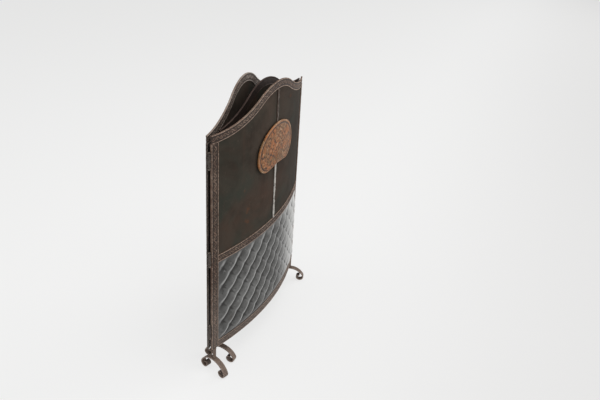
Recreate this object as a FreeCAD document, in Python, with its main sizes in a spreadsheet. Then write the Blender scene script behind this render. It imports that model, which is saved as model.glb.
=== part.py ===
import FreeCAD, Part
import math
import os
import Sketcher

# Folding fireplace screen: a bowed centre panel with two flat wings folded behind it.
# Millimetres, +Z up. X runs along the screen, -Y is the front of the centre panel.

os.makedirs("parts", exist_ok=True)
doc = FreeCAD.newDocument("fireplace_screen")
V = FreeCAD.Vector

DIMENSIONS = [
    # centre panel
    ("panel_width", 600.0),
    ("post_height", 696.0),
    ("bow_depth", 50.0),
    ("arch_rise", 76.0),
    ("mid_rail_top", 327.0),
    ("bar_width", 24.0),
    ("bar_thick", 4.0),
    ("crest_share", 0.35),
    # sheets held in grooves of the bars
    ("sheet_thick", 1.2),
    ("sheet_bite", 5.0),
    ("groove_room", 0.5),
    ("quilt_step_x", 65.0),
    ("quilt_step_z", 63.0),
    ("quilt_rise", 6.5),
    ("quilt_lip", 5.0),
    ("quilt_edge", 14.0),
    ("quilt_grid", 4.6),
    # trunk bar and tree plaque
    ("trunk_width", 12.0),
    ("trunk_thick", 3.5),
    ("face_gap", 0.2),
    ("trunk_end_gap", 0.3),
    ("plaque_width", 232.0),
    ("plaque_height", 138.0),
    ("plaque_shoulder", 52.0),
    ("plaque_notch", 7.0),
    ("plaque_base", 510.0),
    ("plaque_thick", 3.0),
    # legs and scroll feet
    ("ground_gap", 88.0),
    ("leg_gap", 0.02),
    ("leg_width", 10.0),
    ("leg_thick", 5.0),
    ("strip_thick", 4.0),
    ("strip_width", 18.0),
    ("crown_radius", 56.0),
    ("curl_radius", 12.0),
    ("hook_radius", 7.0),
    ("crown_end", 30.0),
    ("curl_end", -170.0),
    ("hook_end", -300.0),
    # wings
    ("wing_width", 540.0),
    ("left_arch", 87.0),
    ("right_arch", 70.0),
    ("right_drop", 8.0),
    ("left_angle", 6.6),
    # hinges
    ("pivot_out", 4.0),
    ("pivot_back", 5.0),
    ("wing_gap", 5.1),
    ("edge_gap", 0.8),
    ("knuckle_radius", 3.5),
    ("pin_radius", 1.7),
    ("bore_radius", 1.75),
    ("ball_radius", 3.6),
    ("hinge_half", 19.0),
    ("wing_knuckle_half", 6.2),
    ("knuckle_room", 0.4),
    ("leaf_thick", 1.4),
    ("fixed_leaf_start", 0.6),
    ("wing_leaf_start", 2.2),
    ("wing_leaf_end_gap", 0.8),
    ("ball_gap", 0.1),
    ("hinge_low", 68.0),
    ("hinge_mid", 322.0),
    ("hinge_high", 626.0),
    # how far the whole screen is moved so that the origin is under its middle
    ("depth_shift", -35.05),
]

sheet = doc.addObject("Spreadsheet::Sheet", "dimensions")
for row, (alias, value) in enumerate(DIMENSIONS, start=1):
    sheet.set("A%d" % row, alias)
    sheet.set("B%d" % row, str(value))
    sheet.setAlias("B%d" % row, alias)
doc.recompute()


def size(alias):
    """One driving dimension, as a plain number."""
    return float(sheet.get(alias))


EXTRUDE_DEPTH = 400.0
RING_HEIGHT = 1000.0
BORE_OVERRUN = 1.0
QUILT_SHARPNESS = 1.2
NODES = []


def bind(obj, path, formula):
    """Tie a property to a formula on the driving dimensions."""
    words = []
    for word in formula.split(" "):
        words.append("dimensions." + word if word.replace("_", "a").isalpha() else word)
    obj.setExpression(path, " ".join(words))


def keep(obj, label):
    """Mark an object as one piece of the screen."""
    obj.Label = label
    NODES.append(obj)
    return obj


# ---------------------------------------------------------------- sketches

def new_sketch(name, upright):
    """A sketch on the upright XZ plane, or on the XY plane."""
    sketch = doc.addObject("Sketcher::SketchObject", name)
    if upright:
        sketch.Placement = FreeCAD.Placement(V(0, 0, 0), FreeCAD.Rotation(V(1, 0, 0), 90))
    return sketch


def arc(centre, radius, start_deg, end_deg):
    """A counter-clockwise arc in sketch coordinates."""
    circle = Part.Circle(V(centre[0], centre[1], 0), V(0, 0, 1), radius)
    return Part.ArcOfCircle(circle, math.radians(start_deg), math.radians(end_deg))


def line(start, end):
    """A straight edge in sketch coordinates."""
    return Part.LineSegment(V(start[0], start[1], 0), V(end[0], end[1], 0))


def extrude(sketch, name, length_formula=None, length=EXTRUDE_DEPTH, symmetric=True):
    """A solid made by sweeping a closed sketch along its normal."""
    solid = doc.addObject("Part::Extrusion", name)
    solid.Base = sketch
    solid.DirMode = "Normal"
    solid.LengthFwd = length
    solid.Solid = True
    solid.Symmetric = symmetric
    if length_formula:
        bind(solid, "LengthFwd", length_formula)
    return solid


def common(name, first, second):
    """The solid shared by two solids."""
    both = doc.addObject("Part::Common", name)
    both.Base = first
    both.Tool = second
    return both


def cut(name, base, tool):
    """One solid with another taken out of it."""
    rest = doc.addObject("Part::Cut", name)
    rest.Base = base
    rest.Tool = tool
    return rest


def rectangle(name, left, bottom, width_formula, width, height_formula, height, upright=True):
    """A fully held rectangle sketch whose sides follow the driving dimensions."""
    sketch = new_sketch(name, upright)
    right, top = left + width, bottom + height
    corners = [(left, bottom), (right, bottom), (right, top), (left, top)]
    for index in range(4):
        sketch.addGeometry(line(corners[index], corners[(index + 1) % 4]), False)
    for index in range(4):
        sketch.addConstraint(Sketcher.Constraint("Coincident", index, 2, (index + 1) % 4, 1))
    for index in (0, 2):
        sketch.addConstraint(Sketcher.Constraint("Horizontal", index))
    for index in (1, 3):
        sketch.addConstraint(Sketcher.Constraint("Vertical", index))
    sketch.addConstraint(Sketcher.Constraint("DistanceX", 0, 1, 0, 2, width))
    sketch.renameConstraint(8, "wide")
    sketch.addConstraint(Sketcher.Constraint("DistanceY", 1, 1, 1, 2, height))
    sketch.renameConstraint(9, "tall")
    sketch.addConstraint(Sketcher.Constraint("DistanceX", -1, 1, 0, 1, left))
    sketch.addConstraint(Sketcher.Constraint("DistanceY", -1, 1, 0, 1, bottom))
    if width_formula:
        bind(sketch, "Constraints.wide", width_formula)
    if height_formula:
        bind(sketch, "Constraints.tall", height_formula)
    return sketch


class Ogee:
    """The camel-back line over one panel: one crest between two hollows that end level."""

    def __init__(self, half_width, rise, end_height):
        self.half = half_width
        self.end = end_height
        self.rise = rise
        both = (half_width ** 2 + rise ** 2) / (2.0 * rise)
        self.crest = size("crest_share") * both
        self.hollow = both - self.crest
        self.crest_z = end_height + rise - self.crest
        self.hollow_z = end_height + self.hollow
        self.lean = math.degrees(math.atan2(self.hollow_z - self.crest_z, half_width))

    def edges(self, inset, half, leftward):
        """Arcs of the line moved in by inset, out to +-half."""
        crest = self.crest - inset
        hollow = self.hollow + inset
        reach = math.degrees(math.acos((self.half - half) / hollow))
        right = arc((self.half, self.hollow_z), hollow, 180 + self.lean, 180 + reach)
        middle = arc((0, self.crest_z), crest, self.lean, 180 - self.lean)
        left = arc((-self.half, self.hollow_z), hollow, 360 - reach, 360 - self.lean)
        return [right, middle, left] if leftward else [left, middle, right]

    def height(self, inset, x):
        """Height of the inset line at x inside the hollow."""
        hollow = self.hollow + inset
        return self.hollow_z - math.sqrt(hollow ** 2 - (self.half - abs(x)) ** 2)


def ogee_band(name, ogee, inset):
    """Sketch of the top rail: the line and the same line moved in by the bar's width."""
    sketch = new_sketch(name, True)
    top = ogee.edges(0.0, ogee.half, True)
    low = ogee.edges(inset, ogee.half, False)
    left, right = -ogee.half, ogee.half
    side_l = line((left, ogee.end), (left, ogee.end - inset))
    side_r = line((right, ogee.end - inset), (right, ogee.end))
    sketch.addGeometry(top + [side_l] + low + [side_r], False)
    return sketch


def ogee_field(name, ogee, inset, half, bottom):
    """Sketch of the field under the top rail, down to a level edge."""
    sketch = new_sketch(name, True)
    corner = ogee.height(inset, half)
    top = ogee.edges(inset, half, True)
    left = line((-half, corner), (-half, bottom))
    base = line((-half, bottom), (half, bottom))
    right = line((half, bottom), (half, corner))
    sketch.addGeometry(top + [left, base, right], False)
    return sketch


# ---------------------------------------------------------------- bowed centre panel

HALF = size("panel_width") / 2.0
BOW_RADIUS = (HALF ** 2 + size("bow_depth") ** 2) / (2.0 * size("bow_depth"))
BOW_CENTRE_Y = BOW_RADIUS - size("bow_depth")
BASE_Z = size("ground_gap")
SHIFT = size("depth_shift")
BITE = size("sheet_bite")
ROOM = size("groove_room")


def bow_ring(name, depth, thick, half):
    """A curved plate standing the full height: its front lies depth behind the bow's front."""
    outer = BOW_RADIUS - depth
    inner = outer - thick
    sketch = new_sketch(name, False)
    ends = []
    for radius in (outer, inner):
        lean = math.degrees(math.asin(half / radius))
        ends.append((radius, lean))
    (r_out, a_out), (r_in, a_in) = ends
    centre = (0.0, BOW_CENTRE_Y)
    front = arc(centre, r_out, 270 - a_out, 270 + a_out)
    back = arc(centre, r_in, 270 - a_in, 270 + a_in)

    def end_point(radius, lean, side):
        angle = math.radians(lean)
        return (side * radius * math.sin(angle), BOW_CENTRE_Y - radius * math.cos(angle))

    right = line(end_point(r_out, a_out, 1), end_point(r_in, a_in, 1))
    left = line(end_point(r_in, a_in, -1), end_point(r_out, a_out, -1))
    sketch.addGeometry([front, right, back, left], False)
    sketch.addConstraint(Sketcher.Constraint("Radius", 0, r_out))
    sketch.addConstraint(Sketcher.Constraint("Radius", 2, r_in))
    return extrude(sketch, name + "_solid", length=RING_HEIGHT, symmetric=False)


def place(obj, x=0.0, y=0.0, z=0.0, turn=0.0):
    """Set a piece in the shared frame, moved by the common depth shift."""
    rotation = FreeCAD.Rotation(V(0, 0, 1), turn)
    obj.Placement = FreeCAD.Placement(V(x, y + SHIFT, z), rotation)
    return obj


frame_ring = bow_ring("frame_ring", 0.0, size("bar_thick"), HALF)
middle_depth = size("bar_thick") / 2.0
sheet_ring = bow_ring("sheet_ring", middle_depth - size("sheet_thick") / 2.0, size("sheet_thick"), HALF)
groove_thick = size("sheet_thick") + ROOM
groove_ring = bow_ring("groove_ring", middle_depth - groove_thick / 2.0, groove_thick, HALF)

centre_ogee = Ogee(HALF, size("arch_rise"), BASE_Z + size("post_height"))
CLEAR_HALF = HALF - size("bar_width")
MID_TOP = BASE_Z + size("mid_rail_top")
MID_LOW = MID_TOP - size("bar_width")
LOW_TOP = BASE_Z + size("bar_width")
BAR = size("bar_width")


def centre_bar(label, sketch, groove):
    """One bar of the centre frame: an outline bent to the bow, grooved for the sheets."""
    block = extrude(sketch, label + "_block")
    bent = common(label + "_bent", block, frame_ring)
    return keep(cut(label + "_cut", bent, groove), label)


def centre_groove(name, sketch):
    """The thin curved space that a sheet's edge sits in."""
    block = extrude(sketch, name + "_block")
    return common(name, block, groove_ring)


upper_room = ogee_field("upper_room", centre_ogee, BAR - BITE - ROOM, CLEAR_HALF + BITE + ROOM,
                        MID_TOP - BITE - ROOM)
lower_room = rectangle("lower_room", -CLEAR_HALF - BITE - ROOM, LOW_TOP - BITE - ROOM,
                       None, 2 * (CLEAR_HALF + BITE + ROOM),
                       None, MID_LOW - LOW_TOP + 2 * (BITE + ROOM))
upper_groove = centre_groove("upper_groove", upper_room)
lower_groove = centre_groove("lower_groove", lower_room)
both_grooves = doc.addObject("Part::MultiFuse", "both_grooves")
both_grooves.Shapes = [upper_groove, lower_groove]

centre_bar("centre_top_rail", ogee_band("centre_top_outline", centre_ogee, BAR), both_grooves)
for side, left_edge in (("left", -HALF), ("right", HALF - BAR)):
    outline = rectangle("centre_post_outline_" + side, left_edge, BASE_Z, "bar_width", BAR,
                        "post_height - bar_width", size("post_height") - BAR)
    centre_bar("centre_post_" + side, outline, both_grooves)
for name, bottom in (("mid", MID_LOW), ("bottom", BASE_Z)):
    outline = rectangle("centre_%s_outline" % name, -CLEAR_HALF, bottom,
                        "panel_width - 2 * bar_width", 2 * CLEAR_HALF, "bar_width", BAR)
    centre_bar("centre_%s_rail" % name, outline, both_grooves)

sheet_field = ogee_field("upper_sheet_outline", centre_ogee, BAR - BITE, CLEAR_HALF + BITE, MID_TOP - BITE)
upper_sheet = common("upper_sheet", extrude(sheet_field, "upper_sheet_block"), sheet_ring)
keep(upper_sheet, "centre_upper_sheet")

# trunk bar, on the face of the upper sheet between the mid rail and the top rail
trunk_depth = middle_depth - size("sheet_thick") / 2.0 - size("trunk_thick") - size("face_gap")
trunk_ring = bow_ring("trunk_ring", trunk_depth, size("trunk_thick"), HALF)
trunk_half = size("trunk_width") / 2.0
inner_crest = math.sqrt((centre_ogee.crest - BAR) ** 2 - trunk_half ** 2)
trunk_top = centre_ogee.crest_z + inner_crest - size("trunk_end_gap")
trunk_outline = rectangle("trunk_outline", -trunk_half, MID_TOP, "trunk_width", size("trunk_width"),
                          None, trunk_top - MID_TOP)
keep(common("trunk", extrude(trunk_outline, "trunk_block"), trunk_ring), "trunk_bar")

# tree plaque, a crown-shaped plate on the trunk bar
plaque_half = size("plaque_width") / 2.0
shoulder = size("plaque_shoulder")
plaque_low = BASE_Z + size("plaque_base")
plaque_outline = new_sketch("plaque_outline", True)
dome = Part.Ellipse(V(0, plaque_low + shoulder, 0), plaque_half, size("plaque_height") - shoulder)
notch = (0.0, plaque_low + size("plaque_notch"))
lobe_x = plaque_half - shoulder
lobes = []
for side in (-1, 1):
    centre = (side * lobe_x, plaque_low + shoulder)
    lobes.append(arc(centre, shoulder, 180, 270) if side < 0 else arc(centre, shoulder, 270, 360))
plaque_outline.addGeometry([
    Part.ArcOfEllipse(dome, 0.0, math.pi),
    lobes[0],
    line((-lobe_x, plaque_low), notch),
    line(notch, (lobe_x, plaque_low)),
    lobes[1],
], False)
plaque_depth = trunk_depth - size("plaque_thick") - size("face_gap")
plaque_ring = bow_ring("plaque_ring", plaque_depth, size("plaque_thick"), HALF)
keep(common("plaque", extrude(plaque_outline, "plaque_block"), plaque_ring), "tree_plaque")

for piece in NODES:
    place(piece)


# ---------------------------------------------------------------- quilted sheets

def quilt_height(x, z, low, high, half):
    """Rise of the pillows at a point: diamonds that fade out to a flat lip beside the bars."""
    across = x / size("quilt_step_x")
    up = (z - low) / size("quilt_step_z")
    puff = abs(math.sin(math.pi * (across + up)) * math.sin(math.pi * (across - up)))
    border = min(half - abs(x), z - low, high - z) - size("quilt_lip")
    fade = min(max(border / size("quilt_edge"), 0.0), 1.0)
    return size("quilt_rise") * puff ** QUILT_SHARPNESS * fade * fade * (3.0 - 2.0 * fade)


def quilted(label, half, low, high, front_of, side):
    """A thin sheet pressed into pillows; front_of(x) is its flat face, side the way it bulges."""
    grid = size("quilt_grid")
    wide, tall = 2 * (half + BITE), high - low + 2 * BITE
    columns = int(round(wide / grid))
    rows = int(round(tall / grid))
    points = []
    for column in range(columns + 1):
        x = -half - BITE + wide * column / columns
        strip = []
        for row in range(rows + 1):
            z = low - BITE + tall * row / rows
            strip.append(V(x, front_of(x) + side * quilt_height(x, z, low, high, half), z))
        points.append(strip)
    degree = 3
    knots = [list(range(count - degree + 1)) for count in (columns + 1, rows + 1)]
    mults = [[degree + 1] + [1] * (len(row) - 2) + [degree + 1] for row in knots]
    surface = Part.BSplineSurface()
    surface.buildFromPolesMultsKnots(points, mults[0], mults[1], knots[0], knots[1],
                                     False, False, degree, degree)
    feature = doc.addObject("Part::Feature", label)
    feature.Shape = surface.toShape().extrude(V(0, size("sheet_thick"), 0))
    return keep(feature, label)


def bow_face(x):
    """Front face of the curved sheet, at x."""
    radius = BOW_RADIUS - middle_depth + size("sheet_thick") / 2.0
    return BOW_CENTRE_Y - math.sqrt(radius ** 2 - x ** 2)


place(quilted("centre_quilted_sheet", CLEAR_HALF, LOW_TOP, MID_LOW, bow_face, -1))


# ---------------------------------------------------------------- scroll feet and legs

STRIP = size("strip_thick")


def scroll_outline(name):
    """Flat strip bent into a crown with a rolled curl at each end, in the YZ plane."""
    crown, curl, hook = size("crown_radius"), size("curl_radius"), size("hook_radius")
    turn_1, turn_2, turn_3 = size("crown_end"), size("curl_end"), size("hook_end")
    curl_z = curl + STRIP / 2.0
    lean = math.radians(turn_1)
    crown_z = curl_z - (crown - curl) * math.sin(lean)
    curl_x = (crown - curl) * math.cos(lean)
    bend = math.radians(turn_2)
    hook_x = curl_x + (curl - hook) * math.cos(bend)
    hook_z = curl_z + (curl - hook) * math.sin(bend)
    half = STRIP / 2.0
    shapes = []
    ends = {}
    for side in (1, -1):
        for offset in (half, -half):
            pieces = [
                ((curl_x, curl_z), curl + offset, turn_2, turn_1),
                ((hook_x, hook_z), hook + offset, turn_3, turn_2),
            ]
            for centre, radius, low, high in pieces:
                if side > 0:
                    shapes.append(arc(centre, radius, low, high))
                else:
                    shapes.append(arc((-centre[0], centre[1]), radius, 180 - high, 180 - low))
            tip = math.radians(turn_3)
            reach = hook + offset
            ends[(side, offset)] = (side * (hook_x + reach * math.cos(tip)), hook_z + reach * math.sin(tip))
    for offset in (half, -half):
        shapes.append(arc((0, crown_z), crown + offset, turn_1, 180 - turn_1))
    for side in (1, -1):
        shapes.append(line(ends[(side, half)], ends[(side, -half)]))
    sketch = doc.addObject("Sketcher::SketchObject", name)
    upright = FreeCAD.Rotation(V(0, 1, 0), V(0, 0, 1), V(1, 0, 0), "ZXY")
    sketch.Placement = FreeCAD.Placement(V(0, 0, 0), upright)
    sketch.addGeometry(shapes, False)
    return sketch, crown_z + crown + half


def foot_and_leg(prefix, x, y, turn, post_bottom):
    """A scroll foot with the short leg that joins it to a post."""
    sketch, top = scroll_outline(prefix + "_foot_outline")
    foot = extrude(sketch, prefix + "_foot_solid", "strip_width")
    keep(foot, prefix + "_foot")
    place(foot, x, y, 0.0, turn)
    leg = doc.addObject("Part::Box", prefix + "_leg_solid")
    bind(leg, "Length", "leg_width")
    bind(leg, "Width", "leg_thick")
    leg.Height = post_bottom - top - size("leg_gap")
    keep(leg, prefix + "_leg")
    angle = math.radians(turn)
    back_x, back_y = size("leg_width") / 2.0, size("leg_thick") / 2.0
    corner_x = x - back_x * math.cos(angle) + back_y * math.sin(angle)
    corner_y = y - back_x * math.sin(angle) - back_y * math.cos(angle)
    place(leg, corner_x, corner_y, top + size("leg_gap"), turn)


foot_x = HALF - BAR / 2.0
bow_middle = BOW_RADIUS - middle_depth
foot_y = BOW_CENTRE_Y - math.sqrt(bow_middle ** 2 - foot_x ** 2)
foot_turn = math.degrees(math.asin(foot_x / bow_middle))
foot_and_leg("centre_left", -foot_x, foot_y, -foot_turn, BASE_Z)
foot_and_leg("centre_right", foot_x, foot_y, foot_turn, BASE_Z)


# ---------------------------------------------------------------- flat wings

WING_HALF = size("wing_width") / 2.0
WING_CLEAR = WING_HALF - BAR
PIVOT_X = HALF + size("pivot_out")
PIVOT_Y = size("pivot_back")
MIDPLANE = size("wing_gap") + size("bar_thick") / 2.0


class Wing:
    """One flat wing: its own frame, two sheets, a leg and a scroll foot."""

    def __init__(self, name, rise, drop, angle, free_side):
        self.name = name
        self.angle = angle
        self.base = BASE_Z - drop
        self.ogee = Ogee(WING_HALF, rise, self.base + size("post_height"))
        self.free_side = free_side
        out = size("edge_gap") + WING_HALF
        lean = math.radians(angle)
        self.x = -free_side * PIVOT_X + free_side * out * math.cos(lean) - MIDPLANE * math.sin(lean)
        self.y = PIVOT_Y + out * math.sin(lean) + MIDPLANE * math.cos(lean)

    def put(self, obj):
        """Stand a piece of this wing in its folded place."""
        return place(obj, self.x, self.y, 0.0, self.angle)

    def bar(self, label, sketch, grooves):
        """One straight bar of the frame, grooved for the sheets."""
        name = self.name + "_" + label
        block = extrude(sketch, name + "_block", "bar_thick")
        return self.put(keep(cut(name + "_cut", block, grooves), name))

    def build(self):
        """Make every piece of the wing."""
        name, base, ogee = self.name, self.base, self.ogee
        mid_top = base + size("mid_rail_top")
        mid_low, low_top = mid_top - BAR, base + BAR
        upper = ogee_field(name + "_upper_room", ogee, BAR - BITE - ROOM, WING_CLEAR + BITE + ROOM,
                           mid_top - BITE - ROOM)
        lower = rectangle(name + "_lower_room", -WING_CLEAR - BITE - ROOM, low_top - BITE - ROOM,
                          None, 2 * (WING_CLEAR + BITE + ROOM),
                          None, mid_low - low_top + 2 * (BITE + ROOM))
        grooves = doc.addObject("Part::MultiFuse", name + "_grooves")
        grooves.Shapes = [
            extrude(upper, name + "_upper_groove", "sheet_thick + groove_room"),
            extrude(lower, name + "_lower_groove", "sheet_thick + groove_room"),
        ]
        self.bar("top_rail", ogee_band(name + "_top_outline", ogee, BAR), grooves)
        for end, left_edge in (("left", -WING_HALF), ("right", WING_HALF - BAR)):
            free = (end == "right") == (self.free_side > 0)
            label = "free_post" if free else "hinge_post"
            outline = rectangle("%s_%s_outline" % (name, label), left_edge, base, "bar_width", BAR,
                                "post_height - bar_width", size("post_height") - BAR)
            self.bar(label, outline, grooves)
        for label, bottom in (("mid_rail", mid_low), ("bottom_rail", base)):
            outline = rectangle("%s_%s_outline" % (name, label), -WING_CLEAR, bottom,
                                "wing_width - 2 * bar_width", 2 * WING_CLEAR, "bar_width", BAR)
            self.bar(label, outline, grooves)
        field = ogee_field(name + "_sheet_outline", ogee, BAR - BITE, WING_CLEAR + BITE, mid_top - BITE)
        self.put(keep(extrude(field, name + "_sheet", "sheet_thick"), name + "_upper_sheet"))
        face = -size("sheet_thick") / 2.0
        self.put(quilted(name + "_quilted_sheet", WING_CLEAR, low_top, mid_low, lambda x: face, 1))
        reach = self.free_side * (WING_HALF - BAR / 2.0)
        lean = math.radians(self.angle)
        foot_and_leg(name, self.x + reach * math.cos(lean), self.y + reach * math.sin(lean),
                     self.angle, base)


Wing("left_wing", size("left_arch"), 0.0, size("left_angle"), 1).build()
Wing("right_wing", size("right_arch"), size("right_drop"), 0.0, -1).build()


# ---------------------------------------------------------------- ball-tipped hinges

HINGES = [BASE_Z + size(height) for height in ("hinge_low", "hinge_mid", "hinge_high")]


def knuckle(name, low, high, leaf_box):
    """A drilled barrel with the leaf that fastens it; leaf_box is x, y, width and depth."""
    barrel = doc.addObject("Part::Cylinder", name + "_barrel")
    bind(barrel, "Radius", "knuckle_radius")
    barrel.Height = high - low
    barrel.Placement.Base = V(0, 0, low)
    leaf = doc.addObject("Part::Box", name + "_leaf")
    leaf.Length, leaf.Width, leaf.Height = leaf_box[2], leaf_box[3], high - low
    leaf.Placement.Base = V(leaf_box[0], leaf_box[1], low)
    body = doc.addObject("Part::MultiFuse", name + "_body")
    body.Shapes = [barrel, leaf]
    bore = doc.addObject("Part::Cylinder", name + "_bore")
    bind(bore, "Radius", "bore_radius")
    bore.Height = high - low + 2.0 * BORE_OVERRUN
    bore.Placement.Base = V(0, 0, low - BORE_OVERRUN)
    return cut(name, body, bore)


def ball_pin(name, height):
    """A hinge pin with a ball at each end."""
    reach = size("hinge_half") + size("ball_radius") + size("ball_gap")
    pin = doc.addObject("Part::Cylinder", name + "_pin")
    bind(pin, "Radius", "pin_radius")
    pin.Height = 2 * reach
    pin.Placement.Base = V(0, 0, height - reach)
    balls = []
    for index, side in enumerate((-1, 1)):
        ball = doc.addObject("Part::Sphere", "%s_ball_%d" % (name, index))
        bind(ball, "Radius", "ball_radius")
        ball.Placement.Base = V(0, 0, height + side * reach)
        balls.append(ball)
    whole = doc.addObject("Part::MultiFuse", name)
    whole.Shapes = [pin] + balls
    return whole


def group(label, pieces, x, y, turn):
    """Several equal pieces kept as one node of separate solids."""
    bundle = doc.addObject("Part::Compound", label + "_set")
    bundle.Links = pieces
    keep(bundle, label)
    return place(bundle, x, y, 0.0, turn)


def hinge_set(side_name, side, angle):
    """The three hinges between the centre panel and one wing."""
    leaf = size("leaf_thick")
    inner = size("pivot_out") - leaf
    centre_x = inner if side < 0 else -inner - leaf
    fixed_start = size("fixed_leaf_start")
    centre_leaf = (centre_x, fixed_start - PIVOT_Y, leaf, PIVOT_Y - fixed_start)
    wing_x = size("edge_gap") - leaf if side < 0 else -size("edge_gap")
    reach = size("wing_gap") + size("bar_thick") - size("wing_leaf_end_gap")
    start = size("wing_leaf_start")
    wing_leaf = (wing_x, start, leaf, reach - start)
    half, room = size("hinge_half"), size("knuckle_room")
    wing_half = size("wing_knuckle_half")
    fixed, moving, pins = [], [], []
    for index, height in enumerate(HINGES):
        tag = "%s_%d" % (side_name, index)
        fixed.append(knuckle("low_knuckle_" + tag, height - half, height - wing_half - room, centre_leaf))
        fixed.append(knuckle("high_knuckle_" + tag, height + wing_half + room, height + half, centre_leaf))
        moving.append(knuckle("wing_knuckle_" + tag, height - wing_half, height + wing_half, wing_leaf))
        pins.append(ball_pin("pin_" + tag, height))
    x = side * PIVOT_X
    group("centre_knuckles_" + side_name, fixed, x, PIVOT_Y, 0.0)
    group("hinge_pins_" + side_name, pins, x, PIVOT_Y, 0.0)
    group(side_name + "_wing_knuckles", moving, x, PIVOT_Y, angle)


hinge_set("left", -1, size("left_angle"))
hinge_set("right", 1, 0.0)


# ---------------------------------------------------------------- check and write

doc.recompute()
problems = []
for obj in doc.Objects:
    if "Invalid" in obj.State or "Error" in obj.State:
        problems.append("%s: %s" % (obj.Name, obj.State))
for obj in NODES:
    shape = obj.Shape
    if shape.isNull() or not shape.isValid() or not shape.Solids:
        problems.append("%s has no valid solid" % obj.Label)
if problems:
    raise RuntimeError("; ".join(problems))

for obj in NODES:
    obj.Shape.exportStep("parts/%s.step" % obj.Label)
    box = obj.Shape.BoundBox
    print("%-26s %2d solid(s) %10.1f mm3  x %7.1f %7.1f  y %7.1f %7.1f  z %6.1f %6.1f" % (
        obj.Label, len(obj.Shape.Solids), obj.Shape.Volume,
        box.XMin, box.XMax, box.YMin, box.YMax, box.ZMin, box.ZMax))
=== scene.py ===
"""Looks of a folding fireplace screen: a bowed centre panel with two flat wings folded behind it."""

import logging
import math
from abc import ABC, abstractmethod
from dataclasses import dataclass
from enum import Enum

import bmesh
import bpy
import numpy as np
from mathutils import Matrix, Vector


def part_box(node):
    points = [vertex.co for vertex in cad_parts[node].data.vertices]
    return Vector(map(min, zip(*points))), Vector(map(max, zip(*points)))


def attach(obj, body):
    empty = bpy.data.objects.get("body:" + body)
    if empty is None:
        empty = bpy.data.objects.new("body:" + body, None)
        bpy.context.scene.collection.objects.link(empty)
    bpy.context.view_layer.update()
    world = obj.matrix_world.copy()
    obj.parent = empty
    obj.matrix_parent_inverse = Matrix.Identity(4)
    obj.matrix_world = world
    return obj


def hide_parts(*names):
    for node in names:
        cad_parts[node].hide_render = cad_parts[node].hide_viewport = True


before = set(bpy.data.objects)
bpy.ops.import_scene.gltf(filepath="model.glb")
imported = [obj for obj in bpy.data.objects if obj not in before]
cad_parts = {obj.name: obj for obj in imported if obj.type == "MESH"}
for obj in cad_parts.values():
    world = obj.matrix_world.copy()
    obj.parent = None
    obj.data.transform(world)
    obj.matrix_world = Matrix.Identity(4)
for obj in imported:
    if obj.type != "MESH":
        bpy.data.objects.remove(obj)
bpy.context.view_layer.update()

LOG = logging.getLogger("fireplace_screen")
Array = np.ndarray
Colour = tuple[float, float, float]
Place = tuple[float, float, float]
RELIEF = "relief"
WHITE: Colour = (1.0, 1.0, 1.0)
CRISP_TURN = math.radians(42.0)


class Slot(Enum):
    """The record's material slots, passed along with the made pieces."""

    IRON = "wrought_iron"
    DARK = "dark_sheet"
    TIN = "tin_sheet"
    COPPER = "copper"
    STEEL = "worn_steel"


class Body(Enum):
    """The screen's three moving bodies."""

    CENTRE = "centre"
    LEFT = "left_wing"
    RIGHT = "right_wing"


@dataclass(frozen=True)
class Stock:
    """Sizes of the bars and sheets that all three panels are made from, in metres."""

    bar_width: float = 0.024
    bar_thick: float = 0.004
    sheet_thick: float = 0.0012
    bite: float = 0.0049

    @property
    def sheet_depth(self) -> float:
        """Depth of a sheet's near face behind the near face of its bars."""
        return (self.bar_thick - self.sheet_thick) / 2


STOCK = Stock()


# ------------------------------------------------------------------ shader writing


@dataclass(frozen=True)
class Step:
    """A smooth step: where it starts and ends, and what it gives below and above."""

    low: float
    high: float
    below: float = 0.0
    above: float = 1.0


@dataclass(frozen=True)
class Cloud:
    """Cloudy noise: clouds per metre, finer layers, their strength, and how far it is drawn out of shape."""

    scale: float
    detail: float = 3.0
    rough: float = 0.55
    twist: float = 0.0


@dataclass(frozen=True)
class Mottle:
    """Patches where cloudy noise rises through a step."""

    cloud: Cloud
    step: Step


@dataclass(frozen=True)
class Dents:
    """Fine unevenness: metres that a height of 1 stands for, and the share of it that shows."""

    depth: float
    strength: float


class Wire:
    """One output of a shader node, on which arithmetic can be written."""

    def __init__(self, board: "Board", socket: bpy.types.NodeSocket) -> None:
        """Keep the socket and the board it is on.

        Args:
            board: The material's node board.
            socket: The output that this value comes from.
        """
        self.board = board
        self.socket = socket

    def _with(self, operation: str, *others: object) -> "Wire":
        """One Math node on this value and others."""
        inputs = {index + 1: other for index, other in enumerate(others)}
        return self.board.node("ShaderNodeMath", {"operation": operation}, {0: self, **inputs})

    def __add__(self, other: object) -> "Wire":
        """Sum."""
        return self._with("ADD", other)

    __radd__ = __add__

    def __mul__(self, other: object) -> "Wire":
        """Product."""
        return self._with("MULTIPLY", other)

    __rmul__ = __mul__

    def __sub__(self, other: object) -> "Wire":
        """Difference."""
        return self._with("SUBTRACT", other)

    def __rsub__(self, other: float) -> "Wire":
        """A number less this value."""
        return self.board.node("ShaderNodeMath", {"operation": "SUBTRACT"}, {0: other, 1: self})

    def lowest(self, other: object) -> "Wire":
        """The smaller of two values."""
        return self._with("MINIMUM", other)

    def highest(self, other: object) -> "Wire":
        """The larger of two values."""
        return self._with("MAXIMUM", other)


    def step(self, step: Step) -> "Wire":
        """This value sent through a smooth step."""
        inputs = {"Value": self, "From Min": step.low, "From Max": step.high,
                  "To Min": step.below, "To Max": step.above}
        return self.board.node("ShaderNodeMapRange", {"interpolation_type": "SMOOTHSTEP"}, inputs)


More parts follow.
